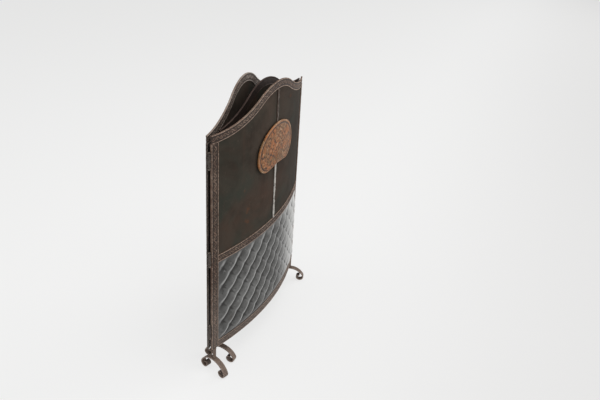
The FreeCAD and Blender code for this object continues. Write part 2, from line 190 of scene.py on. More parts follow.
class Board:
    """The nodes of one material."""

    def __init__(self, name: str) -> None:
        """Start an empty material.

        Args:
            name: The material's name.
        """
        self.material = bpy.data.materials.new(name)
        self.material.use_nodes = True
        self.tree = self.material.node_tree
        self.tree.nodes.clear()

    def node(self, kind: str, settings: dict[str, object], inputs: dict, output: object = 0) -> Wire:
        """Add a node, set it up and wire it.

        Args:
            kind: The node's type.
            settings: Attributes of the node, set before its sockets.
            inputs: Values or wires by socket name or number.
            output: The output wanted, by name or number.

        Returns:
            That output.
        """
        made = self.tree.nodes.new(kind)
        for key, value in settings.items():
            setattr(made, key, value)
        for key, value in inputs.items():
            socket = made.inputs[key]
            if isinstance(value, Wire):
                self.tree.links.new(value.socket, socket)
            else:
                socket.default_value = value
        return Wire(self, made.outputs[output])

    def place(self, stretch: Place = (1.0, 1.0, 1.0)) -> Wire:
        """The surface point in the piece's own coordinates, stretched along its axes."""
        point = self.node("ShaderNodeTexCoord", {}, {}, "Object")
        return self.node("ShaderNodeVectorMath", {"operation": "MULTIPLY"}, {0: point, 1: stretch})

    def axis(self, point: Wire, name: str) -> Wire:
        """One coordinate of a point: X, Y or Z."""
        return self.node("ShaderNodeSeparateXYZ", {}, {0: point}, name)

    def noise(self, point: Wire, cloud: Cloud) -> Wire:
        """Cloudy noise from 0 to 1, looked up at a point."""
        inputs = {"Vector": point, "Scale": cloud.scale, "Detail": cloud.detail, "Roughness": cloud.rough,
                  "Distortion": cloud.twist}
        return self.node("ShaderNodeTexNoise", {}, inputs, 0)

    def mottle(self, point: Wire, mottle: Mottle) -> Wire:
        """A share that changes from patch to patch."""
        return self.noise(point, mottle.cloud).step(mottle.step)

    def relief(self) -> Wire:
        """How high the surface is in its own relief, from 0 to 1."""
        return self.node("ShaderNodeAttribute", {"attribute_name": RELIEF}, {}, "Fac")

    def coats(self, base: object, *coats: tuple[object, object]) -> Wire:
        """Lay coats of colour over a base, one after another.

        Args:
            base: The first colour, fixed or wired.
            coats: A share and a colour for each coat.

        Returns:
            The finished colour.
        """
        for share, coat in coats:
            under, over = [value if isinstance(value, Wire) else (*value, 1.0) for value in (base, coat)]
            base = self.node("ShaderNodeMix", {"data_type": "RGBA", "clamp_factor": True},
                             {0: share, 6: under, 7: over}, 2)
        return base

    def bump(self, height: Wire, dents: Dents) -> Wire:
        """A normal tilted by a height."""
        inputs = {"Strength": dents.strength, "Distance": dents.depth, "Height": height}
        return self.node("ShaderNodeBump", {}, inputs)

    def finish(self, colour: object, rough: object, metal: float, normal: Wire | None = None,
               **constants: object) -> bpy.types.Material:
        """Close the material with one surface shader.

        Args:
            colour: Base colour, fixed or wired.
            rough: Roughness, fixed or wired.
            metal: Metallic share.
            normal: Bumped normal, if any.
            constants: Values of other sockets, with spaces written as underscores.

        Returns:
            The finished material.
        """
        base = colour if isinstance(colour, Wire) else (*colour, 1.0)
        inputs = {"Base Color": base, "Roughness": rough, "Metallic": metal}
        if normal is not None:
            inputs["Normal"] = normal
        inputs.update({key.replace("_", " "): value for key, value in constants.items()})
        surface = self.node("ShaderNodeBsdfPrincipled", {}, inputs)
        end = self.tree.nodes.new("ShaderNodeOutputMaterial")
        self.tree.links.new(surface.socket, end.inputs["Surface"])
        return self.material


# ------------------------------------------------------------------ finishes


class Finish(ABC):
    """A named surface that makes one material and shares it between pieces."""

    made: dict["Finish", bpy.types.Material] = {}

    def material(self) -> bpy.types.Material:
        """The finish's material, made once."""
        if self not in Finish.made:
            Finish.made[self] = self.build()
        return Finish.made[self]

    @abstractmethod
    def build(self) -> bpy.types.Material:
        """Make the material."""


@dataclass(frozen=True)
class StampedIron(Finish):
    """Old wrought iron: dark in its hollows, brown with rust, worn light on its raised work."""

    name: str = "stamped_iron"
    hollow: Colour = (0.020, 0.013, 0.010)
    skin: Colour = (0.098, 0.055, 0.037)
    pale: Colour = (0.190, 0.128, 0.092)
    rust: Colour = (0.170, 0.066, 0.034)
    worn: Colour = (0.460, 0.340, 0.270)
    low_pale: Colour = (0.300, 0.260, 0.230)
    pale_patches: Mottle = Mottle(Cloud(16.0, 4.0, 0.6, 0.4), Step(0.38, 0.66))
    rust_patches: Mottle = Mottle(Cloud(34.0, 4.0, 0.65), Step(0.55, 0.72, 0.0, 0.5))
    sparks: Mottle = Mottle(Cloud(130.0, 2.0, 0.5), Step(0.58, 0.72, 0.0, 0.45))
    fine: Cloud = Cloud(210.0, 3.0, 0.6)
    grain: Cloud = Cloud(620.0, 2.0, 0.6)
    low_relief: Step = Step(0.10, 0.50, 0.85, 0.0)
    low_grain: Step = Step(0.52, 0.70, 0.0, 0.25)
    spark_relief: Step = Step(0.2, 0.5)
    worn_relief: Step = Step(0.50, 0.95, 0.0, 0.8)
    worn_fine: Step = Step(0.34, 0.60)
    low_pale_height: Step = Step(0.12, 0.40, 0.24, 0.04)
    metal: float = 0.12
    rough: float = 0.55
    grain_rough: float = 0.22
    worn_smooth: float = 0.16
    fine_share: float = 0.7
    dents: Dents = Dents(0.0005, 0.6)
    gloss: float = 0.22

    def build(self) -> bpy.types.Material:
        """Layer patina, rust and wear by relief."""
        board = Board(self.name)
        point, relief = board.place(), board.relief()
        fine, grain = board.noise(point, self.fine), board.noise(point, self.grain)
        low = (relief.step(self.low_relief) + grain.step(self.low_grain)).lowest(1.0)
        spark = board.mottle(point, self.sparks) * relief.step(self.spark_relief)
        rubbed = (relief.step(self.worn_relief) * fine.step(self.worn_fine)).highest(spark)
        colour = board.coats(
            self.skin,
            (board.mottle(point, self.pale_patches), self.pale),
            (board.mottle(point, self.rust_patches), self.rust),
            (low, self.hollow),
            (rubbed, self.worn),
            # Paler grey low down, fading out with height.
            (board.axis(point, "Z").step(self.low_pale_height), self.low_pale),
        )
        rough = self.rough + grain * self.grain_rough - rubbed * self.worn_smooth
        normal = board.bump(fine * self.fine_share + grain * (1 - self.fine_share), self.dents)
        return board.finish(colour, rough, self.metal, normal, Specular_IOR_Level=self.gloss)


@dataclass(frozen=True)
class DarkSheet(Finish):
    """Brown-black patinated sheet with faint streaks and warm and cool stains."""

    name: str = "dark_patina_sheet"
    deep: Colour = (0.028, 0.021, 0.016)
    body: Colour = (0.061, 0.047, 0.036)
    warm: Colour = (0.072, 0.041, 0.029)
    cool: Colour = (0.036, 0.043, 0.034)
    dust: Colour = (0.110, 0.088, 0.068)
    rust: Colour = (0.120, 0.050, 0.024)
    cloud: Cloud = Cloud(7.0, 5.0, 0.62, 0.6)
    fine: Cloud = Cloud(95.0, 4.0, 0.65)
    swell: Cloud = Cloud(30.0, 2.0)
    body_step: Step = Step(0.34, 0.68)
    warm_patches: Mottle = Mottle(Cloud(4.3, 4.0, 0.6, 0.5), Step(0.48, 0.70))
    warm_height: Step = Step(0.48, 0.72, 0.75, 0.25)
    cool_patches: Mottle = Mottle(Cloud(5.1, 3.0, 0.5, 0.9), Step(0.44, 0.70, 0.0, 0.7))
    rust_spots: Mottle = Mottle(Cloud(24.0, 3.0, 0.5), Step(0.66, 0.74, 0.0, 0.4))
    streak_stretch: Place = (26.0, 26.0, 2.4)
    streaks: Mottle = Mottle(Cloud(1.0, 4.0, 0.6), Step(0.50, 0.78, 0.0, 0.40))
    dust_step: Step = Step(0.56, 0.80, 0.0, 0.35)
    right_shade: Step = Step(-0.10, 0.25, 0.0, 0.5)
    metal: float = 0.0
    rough: float = 0.58
    cloud_rough: float = 0.14
    fine_rough: float = 0.10
    fine_share: float = 0.5
    dents: Dents = Dents(0.0006, 0.5)
    gloss: float = 0.04

    def build(self) -> bpy.types.Material:
        """Layer clouds, streaks, stains and dust."""
        board = Board(self.name)
        point = board.place()
        cloud, fine = board.noise(point, self.cloud), board.noise(point, self.fine)
        warm = board.mottle(point, self.warm_patches) * board.axis(point, "Z").step(self.warm_height)
        colour = board.coats(
            self.deep,
            (cloud.step(self.body_step), self.body),
            (warm, self.warm),
            (board.mottle(point, self.cool_patches), self.cool),
            (board.mottle(point, self.rust_spots), self.rust),
            (board.mottle(board.place(self.streak_stretch), self.streaks), self.warm),
            (fine.step(self.dust_step), self.dust),
            (board.axis(point, "X").step(self.right_shade), self.deep),
        )
        rough = self.rough + cloud * self.cloud_rough + fine * self.fine_rough
        swell = board.noise(point, self.swell)
        normal = board.bump(fine * self.fine_share + swell * (1 - self.fine_share), self.dents)
        return board.finish(colour, rough, self.metal, normal, Specular_IOR_Level=self.gloss)


@dataclass(frozen=True)
class PressedTin(Finish):
    """Pewter-grey sheet: tarnished and darkened with painted shade in its seams, brighter with painted
    highlight on its pillow crests, in glints and towards its right end.
    """

    name: str = "pressed_pewter"
    # Tarnish colour, also used for the painted shade in the seams.
    tarnish_and_shade: Colour = (0.022, 0.021, 0.020)
    body: Colour = (0.094, 0.093, 0.090)
    pale: Colour = (0.155, 0.155, 0.151)
    # Painted highlight colour for the glints, the pillow crests and the right end.
    bright: Colour = (0.560, 0.560, 0.550)
    stain: Colour = (0.080, 0.064, 0.052)
    cloud: Cloud = Cloud(11.0, 4.0, 0.6, 0.5)
    fine: Cloud = Cloud(130.0, 4.0, 0.65)
    spot: Cloud = Cloud(420.0, 2.0, 0.6)
    pale_step: Step = Step(0.35, 0.70)
    stains: Mottle = Mottle(Cloud(19.0, 4.0, 0.65, 0.4), Step(0.56, 0.78, 0.0, 0.5))
    tarnish_step: Step = Step(0.50, 0.74, 0.0, 0.6)
    glints: Mottle = Mottle(Cloud(90.0, 4.0, 0.7), Step(0.55, 0.75, 0.0, 0.22))
    crest_highlight_relief: Step = Step(0.52, 0.98)
    crest_highlight_spots: Step = Step(0.20, 0.50, 0.35, 0.68)
    right_end_highlight: Step = Step(0.02, 0.24, 0.0, 0.95)
    seam_shade_relief: Step = Step(0.05, 0.48, 0.80, 0.0)
    metal: float = 0.72
    rough: float = 0.25
    cloud_rough: float = 0.10
    spot_rough: float = 0.12
    fine_share: float = 0.6
    dents: Dents = Dents(0.0005, 0.45)

    def build(self) -> bpy.types.Material:
        """Layer pillow tone, tarnish, fine spots, painted highlight and painted shade."""
        board = Board(self.name)
        point, relief = board.place(), board.relief()
        cloud, fine, spot = (board.noise(point, each) for each in (self.cloud, self.fine, self.spot))
        colour = board.coats(
            self.body,
            (cloud.step(self.pale_step), self.pale),
            (board.mottle(point, self.stains), self.stain),
            (fine.step(self.tarnish_step), self.tarnish_and_shade),
            (board.mottle(point, self.glints), self.bright),
            # Painted highlight on the pillow crests.
            (relief.step(self.crest_highlight_relief) * spot.step(self.crest_highlight_spots), self.bright),
            # Painted highlight growing towards the sheet's right end.
            (board.axis(point, "X").step(self.right_end_highlight), self.bright),
            # Painted shade, laid in the tarnish colour, in the pillows' valleys, folds, buttons and dashes.
            (relief.step(self.seam_shade_relief), self.tarnish_and_shade),
        )
        rough = self.rough + cloud * self.cloud_rough + spot * self.spot_rough
        normal = board.bump(fine * self.fine_share + spot * (1 - self.fine_share), self.dents)
        return board.finish(colour, rough, self.metal, normal)


@dataclass(frozen=True)
class ChasedCopper(Finish):
    """Copper: brown in the chased lines, orange on the ground, pale where it is rubbed, that pale laid in
    streaks of painted highlight.
    """

    name: str = "chased_copper"
    line: Colour = (0.034, 0.016, 0.008)
    ground: Colour = (0.205, 0.088, 0.030)
    fire: Colour = (0.340, 0.110, 0.025)
    moss: Colour = (0.150, 0.105, 0.042)
    rubbed: Colour = (0.560, 0.400, 0.240)
    fine: Cloud = Cloud(170.0, 4.0, 0.6)
    fire_patches: Mottle = Mottle(Cloud(26.0, 4.0, 0.6, 0.5), Step(0.42, 0.66))
    moss_patches: Mottle = Mottle(Cloud(38.0, 3.0, 0.6), Step(0.56, 0.74, 0.0, 0.6))
    line_relief: Step = Step(0.20, 0.50, 1.0, 0.0)
    highlight_sweep_stretch: Place = (46.0, 46.0, 9.0)
    highlight_sweeps: Mottle = Mottle(Cloud(1.0, 3.0, 0.55, 0.3), Step(0.46, 0.62, 0.25, 1.0))
    rubbed_relief: Step = Step(0.52, 0.86)
    rubbed_fine: Step = Step(0.40, 0.58)
    metal: float = 0.10
    rough: float = 0.38
    fine_rough: float = 0.18
    rubbed_smooth: float = 0.10
    dents: Dents = Dents(0.0004, 0.5)
    gloss: float = 0.25

    def build(self) -> bpy.types.Material:
        """Layer the ground's colours by cloud, and wear with painted highlight by relief."""
        board = Board(self.name)
        point, relief = board.place(), board.relief()
        fine = board.noise(point, self.fine)
        sweep = board.mottle(board.place(self.highlight_sweep_stretch), self.highlight_sweeps)
        # Painted highlight: the pale rubbed colour on raised work is laid in stretched streaks.
        pale = relief.step(self.rubbed_relief) * fine.step(self.rubbed_fine) * sweep
        colour = board.coats(
            self.ground,
            (board.mottle(point, self.fire_patches), self.fire),
            (board.mottle(point, self.moss_patches), self.moss),
            (relief.step(self.line_relief), self.line),
            (pale, self.rubbed),
        )
        rough = self.rough + fine * self.fine_rough - pale * self.rubbed_smooth
        return board.finish(colour, rough, self.metal, board.bump(fine, self.dents),
                            Specular_IOR_Level=self.gloss)


@dataclass(frozen=True)
class TrunkSteel(Finish):
    """Chiselled bar, bright below the plaque and brown above it."""

    brown_height: Step
    name: str = "trunk_steel"
    nick_and_side_shade: Colour = (0.034, 0.019, 0.014)
    bright: Colour = (0.470, 0.440, 0.405)
    brown: Colour = (0.085, 0.061, 0.048)
    worn: Colour = (0.560, 0.530, 0.490)
    fine: Cloud = Cloud(160.0, 4.0, 0.6)
    brown_fine: Step = Step(0.54, 0.74, 0.0, 0.35)
    nick_relief: Step = Step(0.06, 0.42, 0.92, 0.0)
    worn_relief: Step = Step(0.55, 0.95, 0.0, 0.7)
    worn_fine: Step = Step(0.28, 0.56)
    upper_dull: float = 0.85
    metal: float = 0.40
    rough: float = 0.42
    fine_rough: float = 0.2
    dents: Dents = Dents(0.0005, 0.5)
    gloss: float = 0.15

    def build(self) -> bpy.types.Material:
        """Change from bright to brown with height, dark in the nicks and in the painted shade along the bar's
        sides.
        """
        board = Board(self.name)
        point, relief = board.place(), board.relief()
        fine = board.noise(point, self.fine)
        upper = board.axis(point, "Z").step(self.brown_height)
        pale = relief.step(self.worn_relief) * (1.0 - upper * self.upper_dull) * fine.step(self.worn_fine)
        colour = board.coats(
            self.bright,
            (upper, self.brown),
            (fine.step(self.brown_fine), self.brown),
            (relief.step(self.nick_relief), self.nick_and_side_shade),
            (pale, self.worn),
        )
        return board.finish(colour, self.rough + fine * self.fine_rough, self.metal,
                            board.bump(fine, self.dents), Specular_IOR_Level=self.gloss)


@dataclass(frozen=True)
class HingeSteel(Finish):
    """Hinge barrels and pins: brown steel with rubbed metal showing through."""

    name: str = "hinge_steel"
    skin: Colour = (0.036, 0.025, 0.019)
    bare: Colour = (0.300, 0.250, 0.215)
    bare_share: float = 0.25
    fine: Cloud = Cloud(260.0, 4.0, 0.6)
    bare_fine: Step = Step(0.40, 0.64)
    metal: float = 0.3
    rough: float = 0.40
    fine_rough: float = 0.2
    dents: Dents = Dents(0.0004, 0.4)

    def build(self) -> bpy.types.Material:
        """Brown skin, rubbed through in spots."""
        board = Board(self.name)
        fine = board.noise(board.place(), self.fine)
        colour = board.coats(self.skin, (fine.step(self.bare_fine) * self.bare_share, self.bare))
        bump = board.bump(fine, self.dents)
        return board.finish(colour, self.rough + fine * self.fine_rough, self.metal, bump)


@dataclass(frozen=True)
class PaleFloor(Finish):
    """Plain pale studio floor with a faint glow that weakens towards the front."""

    name: str = "pale_floor"
    tone: Colour = (0.22, 0.22, 0.22)
    rough: float = 0.9
    glow: float = 0.70
    full_glow: Colour = (1.0, 1.0, 0.995)
    weak_glow: Colour = (0.84, 0.835, 0.83)
    weak_depth: Step = Step(-1.40, 0.15, 1.0, 0.0)

    def build(self) -> bpy.types.Material:
        """A matt surface whose glow keeps its shadows soft."""
        board = Board(self.name)
        weak = board.axis(board.place(), "Y").step(self.weak_depth)
        light = board.coats(self.full_glow, (weak, self.weak_glow))
        return board.finish(self.tone, self.rough, 0.0, Specular_IOR_Level=0.0, Emission_Color=light,
                            Emission_Strength=self.glow)


# ------------------------------------------------------------------ mesh making


class Grain:
    """Smooth seeded noise on a plane, used for hammering and waviness."""

    LATTICE = 64

    def __init__(self, seed: int, cell: float) -> None:
        """Lay out the lattice.

        Args:
            seed: Seed of the random lattice.
            cell: Size of one lattice cell.
        """
        self.values = np.random.default_rng(seed).uniform(-1.0, 1.0, (self.LATTICE, self.LATTICE))
        self.cell = cell

    def at(self, first: Array, second: Array) -> Array:
        """Noise from -1 to 1 at the given places."""
        u, v = np.asarray(first) / self.cell, np.asarray(second) / self.cell
        i, j = np.floor(u).astype(int), np.floor(v).astype(int)
        fu, fv = u - i, v - j
        su, sv = fu * fu * (3 - 2 * fu), fv * fv * (3 - 2 * fv)
        size = self.LATTICE
        corner = [[self.values[(i + a) % size, (j + b) % size] for b in (0, 1)] for a in (0, 1)]
        low = corner[0][0] * (1 - sv) + corner[0][1] * sv
        high = corner[1][0] * (1 - sv) + corner[1][1] * sv
        return low * (1 - su) + high * su


@dataclass
class Skin:
    """Points, faces and relief of one mesh."""

    points: Array
    faces: list[tuple[int, ...]]
    relief: Array

    @staticmethod
    def tube(rings: Array, relief: Array) -> "Skin":
        """A closed tube through rings of points, with flat ends.

        Args:
            rings: Points by ring, place in ring and axis.
            relief: Relief by ring and place in ring.

        Returns:
            The tube.
        """
        count, around = rings.shape[:2]
        index = np.arange(count * around).reshape(count, around)
        turned = np.roll(index, -1, axis=1)
        quads = np.stack([index[:-1], turned[:-1], turned[1:], index[1:]], -1).reshape(-1, 4)
        faces = [tuple(quad) for quad in quads.tolist()]
        faces.append(tuple(index[0][::-1].tolist()))
        faces.append(tuple(index[-1].tolist()))
        return Skin(rings.reshape(-1, 3), faces, relief.ravel())

    @staticmethod
    def slab(front: Array, back: Array, relief: Array) -> "Skin":
        """A thin closed plate between two grids of points.

        Args:
            front: Grid of points on one side.
            back: The same grid on the other side.
            relief: Relief by grid point, the same on both sides.

        Returns:
            The plate.
        """
        rows, columns = front.shape[:2]
        index = np.arange(rows * columns).reshape(rows, columns)
        corners = [index[:-1, :-1], index[:-1, 1:], index[1:, 1:], index[1:, :-1]]
        quads = np.stack(corners, -1).reshape(-1, 4)
        other = quads[:, ::-1] + rows * columns
        edge = np.concatenate([index[0, :], index[1:, -1], index[-1, -2::-1], index[-2:0:-1, 0]])
        after = np.roll(edge, -1)
        rim = np.stack([after, edge, edge + rows * columns, after + rows * columns], -1)
        faces = [tuple(quad) for quad in np.concatenate([quads, other, rim]).tolist()]
        points = np.concatenate([front.reshape(-1, 3), back.reshape(-1, 3)])
        return Skin(points, faces, np.concatenate([relief.ravel(), relief.ravel()]))

    @staticmethod
    def disc(front: Array, back: Array, relief: Array) -> "Skin":
        """A plate between two fans of rings, from a middle point out to an edge.

        Args:
            front: Points by ring and place in ring; ring 0 is the middle.
            back: The same on the other side.
            relief: Relief by ring and place in ring.

        Returns:
            The plate.
        """
        rings, around = front.shape[:2]
        points, faces, heights = [], [], []
        for side, grid in enumerate((front, back)):
            base = side * (1 + (rings - 1) * around)
            points += [grid[0, :1], grid[1:].reshape(-1, 3)]
            heights += [relief[0, :1], relief[1:].ravel()]
            index = base + 1 + np.arange((rings - 1) * around).reshape(rings - 1, around)
            turned = np.roll(index, -1, axis=1)
            quads = np.stack([index[:-1], index[1:], turned[1:], turned[:-1]], -1).reshape(-1, 4)
            faces += [tuple(quad) for quad in quads.tolist()]
            faces += [(base, int(a), int(b)) for a, b in zip(index[0], turned[0])]
        last = 1 + (rings - 2) * around + np.arange(around)
        other = last + 1 + (rings - 1) * around
        rim = np.stack([last, np.roll(last, -1), np.roll(other, -1), other], -1)
        faces += [tuple(quad) for quad in rim.tolist()]
        return Skin(np.concatenate(points), faces, np.concatenate(heights))


def show(thing: bpy.types.Object) -> None:
    """Put an object into the scene."""
    bpy.context.scene.collection.objects.link(thing)


class Workshop:
    """Turns meshes into named pieces that ride on the screen's bodies."""

    def __init__(self) -> None:
        """Start with no pieces."""
        self.count = 0

    def piece(self, name: str, skin: Skin, body: Body, slot: Slot, finish: Finish, node: str) -> None:
        """Make one piece.

        Args:
            name: The piece's name.
            skin: Its mesh.
            body: The body that it rides on.
            slot: The record's slot of its material; not used.
            finish: Its surface.
            node: The frame's node that it stands for.
        """
        mesh = bpy.data.meshes.new(name)
        mesh.from_pydata(skin.points.tolist(), [], skin.faces)
        layer = mesh.attributes.new(RELIEF, "FLOAT", "POINT")
        layer.data.foreach_set("value", np.clip(skin.relief, 0.0, 1.0).astype(np.float32))
        shape = bmesh.new()
        shape.from_mesh(mesh)
        bmesh.ops.recalc_face_normals(shape, faces=shape.faces)
        shape.to_mesh(mesh)
        shape.free()
        mesh.shade_smooth()
        mesh.set_sharp_from_angle(angle=CRISP_TURN)
        mesh.materials.append(finish.material())
        piece = bpy.data.objects.new(name, mesh)
        show(piece)
        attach(piece, body.value)
        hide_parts(node)
        self.count += 1
        LOG.info("piece %s: %d faces, rides on %s", name, len(mesh.polygons), body.value)

    @staticmethod
    def dress_node(name: str, finish: Finish) -> None:
        """Give one of the frame's own nodes a finish."""
        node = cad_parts[name]
        node.data.materials.clear()
        node.data.materials.append(finish.material())
        LOG.info("node %s keeps its shape and takes %s", name, type(finish).__name__)


# ------------------------------------------------------------------ plans of the panels


def stood(centre: tuple[float, float], turn: float, x: Array, y: Array, z: Array) -> Array:
    """Points of an upright thing, turned in plan and set at its centre."""
    cos, sin = math.cos(turn), math.sin(turn)
    return np.stack([centre[0] + x * cos - y * sin, centre[1] + x * sin + y * cos, z], -1)


class Plan(ABC):
    """Where a panel's own coordinates lie: x along it, z up, depth from its near face."""

    @abstractmethod
    def place(self, x: Array, z: Array, depth: Array) -> Array:
        """Points in the shared frame."""

    @abstractmethod
    def turn_at(self, x: float) -> float:
        """Angle in plan of the panel's surface at x, in radians."""


@dataclass(frozen=True)
class BowedPlan(Plan):
    """The centre panel's bow, a part of a cylinder."""

    radius: float
    centre_y: float

    @classmethod
    def from_rail(cls, node: str, thick: float) -> "BowedPlan":
        """Work out the bow from the box of a rail that crosses the whole panel.

        Args:
            node: The rail's node.
            thick: The rail's thickness.

        Returns:
            The plan.
        """
        low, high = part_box(node)
        half, deep = high.x, high.y - low.y
        radius = (half ** 2 + deep ** 2 - thick ** 2) / (2.0 * (deep - thick))
        return cls(radius, low.y + radius)

    def place(self, x: Array, z: Array, depth: Array) -> Array:
        """Points in the shared frame."""
        x, z, depth = np.broadcast_arrays(x, z, depth)
        return np.stack([x, self.centre_y - np.sqrt((self.radius - depth) ** 2 - x ** 2), z], -1)

    def turn_at(self, x: float) -> float:
        """Angle of the bow's tangent at x."""
        return math.asin(x / self.radius)


@dataclass(frozen=True)
class FlatPlan(Plan):
    """A wing's plane."""

    origin: tuple[float, float]
    angle: float

    def place(self, x: Array, z: Array, depth: Array) -> Array:
        """Points in the shared frame."""
        x, z, depth = np.broadcast_arrays(x, z, depth)
        return stood(self.origin, self.angle, x, depth, z)

    def turn_at(self, x: float) -> float:
        """The wing's angle."""
        return self.angle


# ------------------------------------------------------------------ bars


class BarLine(ABC):
    """The flat outline of a bar: a run and a width across it."""

    length: float
    width: float

    @abstractmethod
    def point(self, run: Array, across: Array) -> tuple[Array, Array]:
        """Panel x and z at a place along the bar and across it."""


@dataclass(frozen=True)
class StraightLine(BarLine):
    """A straight bar, upright or level."""

    start: tuple[float, float]
    length: float
    width: float
    upright: bool

    def point(self, run: Array, across: Array) -> tuple[Array, Array]:
        """Panel x and z at a place along the bar and across it."""
        if self.upright:
            return self.start[0] + across, self.start[1] + run
        return self.start[0] + run, self.start[1] - across


@dataclass(frozen=True)
class CamelLine(BarLine):
    """The camel-back top rail: a crest between two hollows that end level."""

    half: float
    rise: float
    end: float
    width: float
    crest_share: float = 0.35

    @property
    def arcs(self) -> tuple[float, float, float, float, float]:
        """Crest radius, hollow radius, their centre heights and the lean between them."""
        both = (self.half ** 2 + self.rise ** 2) / (2.0 * self.rise)
        crest = self.crest_share * both
        hollow = both - crest
        crest_z, hollow_z = self.end + self.rise - crest, self.end + hollow
        return crest, hollow, crest_z, hollow_z, math.atan2(hollow_z - crest_z, self.half)

    @property
    def spans(self) -> tuple[float, float]:
        """Lengths of one hollow and of the crest along the rail's middle."""
        crest, hollow, _, _, lean = self.arcs
        sweep = math.pi / 2 - lean
        return (hollow + self.width / 2) * sweep, (crest - self.width / 2) * 2 * sweep

    @property
    def length(self) -> float:
        """Length along the rail's middle."""
        hollow, crest = self.spans
        return 2 * hollow + crest

    def point(self, run: Array, across: Array) -> tuple[Array, Array]:
        """Panel x and z at a place along the rail, left to right, and down across it."""
        run, across = np.broadcast_arrays(run, across)
        crest, hollow, crest_z, hollow_z, lean = self.arcs
        side, top = self.spans
        sweep = math.pi / 2 - lean
        left = 1.5 * math.pi + run / side * sweep
        middle = math.pi - lean - (run - side) / top * 2 * sweep
        right = math.pi + lean + (run - side - top) / side * sweep
        x = np.select(
            [run < side, run <= side + top],
            [-self.half + (hollow + across) * np.cos(left), (crest - across) * np.cos(middle)],
            self.half + (hollow + across) * np.cos(right),
        )
        z = np.select(
            [run < side, run <= side + top],
            [hollow_z + (hollow + across) * np.sin(left), crest_z + (crest - across) * np.sin(middle)],
            hollow_z + (hollow + across) * np.sin(right),
        )
        return x, z

    def height(self, inset: float, x: Array) -> Array:
        """Height of the line moved down by inset, at x."""
        crest, hollow, crest_z, hollow_z, lean = self.arcs
        reach = np.abs(x)
        turn = (crest - inset) * math.cos(lean)
        over = np.sqrt(np.maximum((crest - inset) ** 2 - reach ** 2, 0.0))
        under = np.sqrt(np.maximum((hollow + inset) ** 2 - (self.half - reach) ** 2, 0.0))
        return np.where(reach <= turn, crest_z + over, hollow_z - under)


@dataclass(frozen=True)
class VineStamp:
    """A running stem with buds, struck between two raised edges. Lengths in metres."""

    period: float = 0.026
    swing: float = 0.0042
    stem: float = 0.0014
    bud_long: float = 0.0036
    bud_wide: float = 0.0019
    bud_turn: float = 0.7
    lift: float = 0.0008
    edge: float = 0.0028
    edge_lift: float = 0.0009
    sink: float = 0.0004
    hammer: float = 0.00022
    bud_out: float = 0.55
    edge_sink: float = 0.3

    def height(self, run: Array, across: Array, width: float, grain: Grain) -> Array:
        """Rise of the bar's face above its flat.

        Args:
            run: Place along the bar.
            across: Place across it.
            width: The bar's width.
            grain: Hammering noise.

        Returns:
            Rise in metres.
        """
        middle = across - width / 2
        turn = 2 * math.pi / self.period
        slope = self.swing * turn * np.cos(turn * run)
        from_stem = (middle - self.swing * np.sin(turn * run)) / np.sqrt(1 + slope ** 2)
        stem = np.exp(-(from_stem / self.stem) ** 2)
        half = self.period / 2
        step = np.floor(run / half)
        side = np.where(step % 2 == 0, -1.0, 1.0)
        local = run - (step + 0.5) * half
        off = middle - side * self.swing * self.bud_out
        cos, sin = math.cos(self.bud_turn), math.sin(self.bud_turn)
        along, wide = local * cos + side * off * sin, -local * sin + side * off * cos
        bud = np.exp(-((along / self.bud_long) ** 2 + (wide / self.bud_wide) ** 2))
        from_edge = np.minimum(across, width - across)
        bead = np.clip(1.0 - np.abs(from_edge - self.edge / 2) / (self.edge / 2), 0.0, 1.0)
        bead = np.sqrt(np.clip(1 - (1 - bead) ** 2, 0.0, 1.0))
        sunk = self.lift * np.maximum(stem, bud) - self.sink
        raised = self.edge_lift * bead - self.sink * self.edge_sink
        return np.where(from_edge > self.edge, sunk, raised) + self.hammer * grain.at(run, across)

    def tone(self, rise: Array) -> Array:
        """Relief from 0 to 1 for a rise of the face."""
        return (rise + self.sink) / (self.lift + self.sink)


@dataclass
class StampedBar:
    """One flat bar with stamped work on its show face and shallower work behind."""

    name: str
    line: BarLine
    plan: Plan
    show_near: bool
    seed: int
    thick: float = STOCK.bar_thick
    step: float = 0.0017
    across_step: float = 0.0013
    back_share: float = 0.55
    corner: float = 0.0006
    corner_start: float = 0.3
    side_start: float = 1.4
    side_tone: float = 0.45
    hammer_cell: float = 0.0045
    end_gap: float = 0.00005
    stamp: VineStamp = VineStamp()

    def skin(self) -> Skin:
        """The bar's closed mesh."""
        width, length, start = self.line.width, self.line.length, self.corner * self.corner_start
        runs = np.linspace(self.end_gap, length - self.end_gap, int(length / self.step) + 2)
        inner = np.linspace(self.corner, width - self.corner, int(width / self.across_step) + 1)
        across = np.concatenate([[start], inner, [width - start]])
        grid_run, grid_across = np.meshgrid(runs, across, indexing="ij")
        rise = self.stamp.height(grid_run, grid_across, width, Grain(self.seed, self.hammer_cell))
        x, z = self.line.point(grid_run, grid_across)
        ease = np.clip(np.minimum(grid_across, width - grid_across) / self.corner, 0.0, 1.0)
        drop = self.corner * (1 - ease)
        near_share, far_share = (1.0, self.back_share) if self.show_near else (self.back_share, 1.0)
        near = self.plan.place(x, z, -near_share * rise + drop)
        far = self.plan.place(x, z, self.thick + far_share * rise - drop)
        side_a, side_b = self._edge(runs, 0.0), self._edge(runs, width)
        rings = np.concatenate([near, side_b, far[:, ::-1], side_a[:, ::-1]], axis=1)
        tone = self.stamp.tone(rise)
        flat = np.full((len(runs), 2), self.side_tone)
        return Skin.tube(rings, np.concatenate([tone, flat, tone[:, ::-1], flat], axis=1))

    def _edge(self, runs: Array, across: float) -> Array:
        """The two points on the bar's side at each place along it."""
        inset = self.corner * self.side_start
        depth = np.array([inset, self.thick - inset])
        x, z = self.line.point(runs[:, None], np.full((1, 2), across))
        return self.plan.place(x, z, depth[None, :])


# ------------------------------------------------------------------ sheets


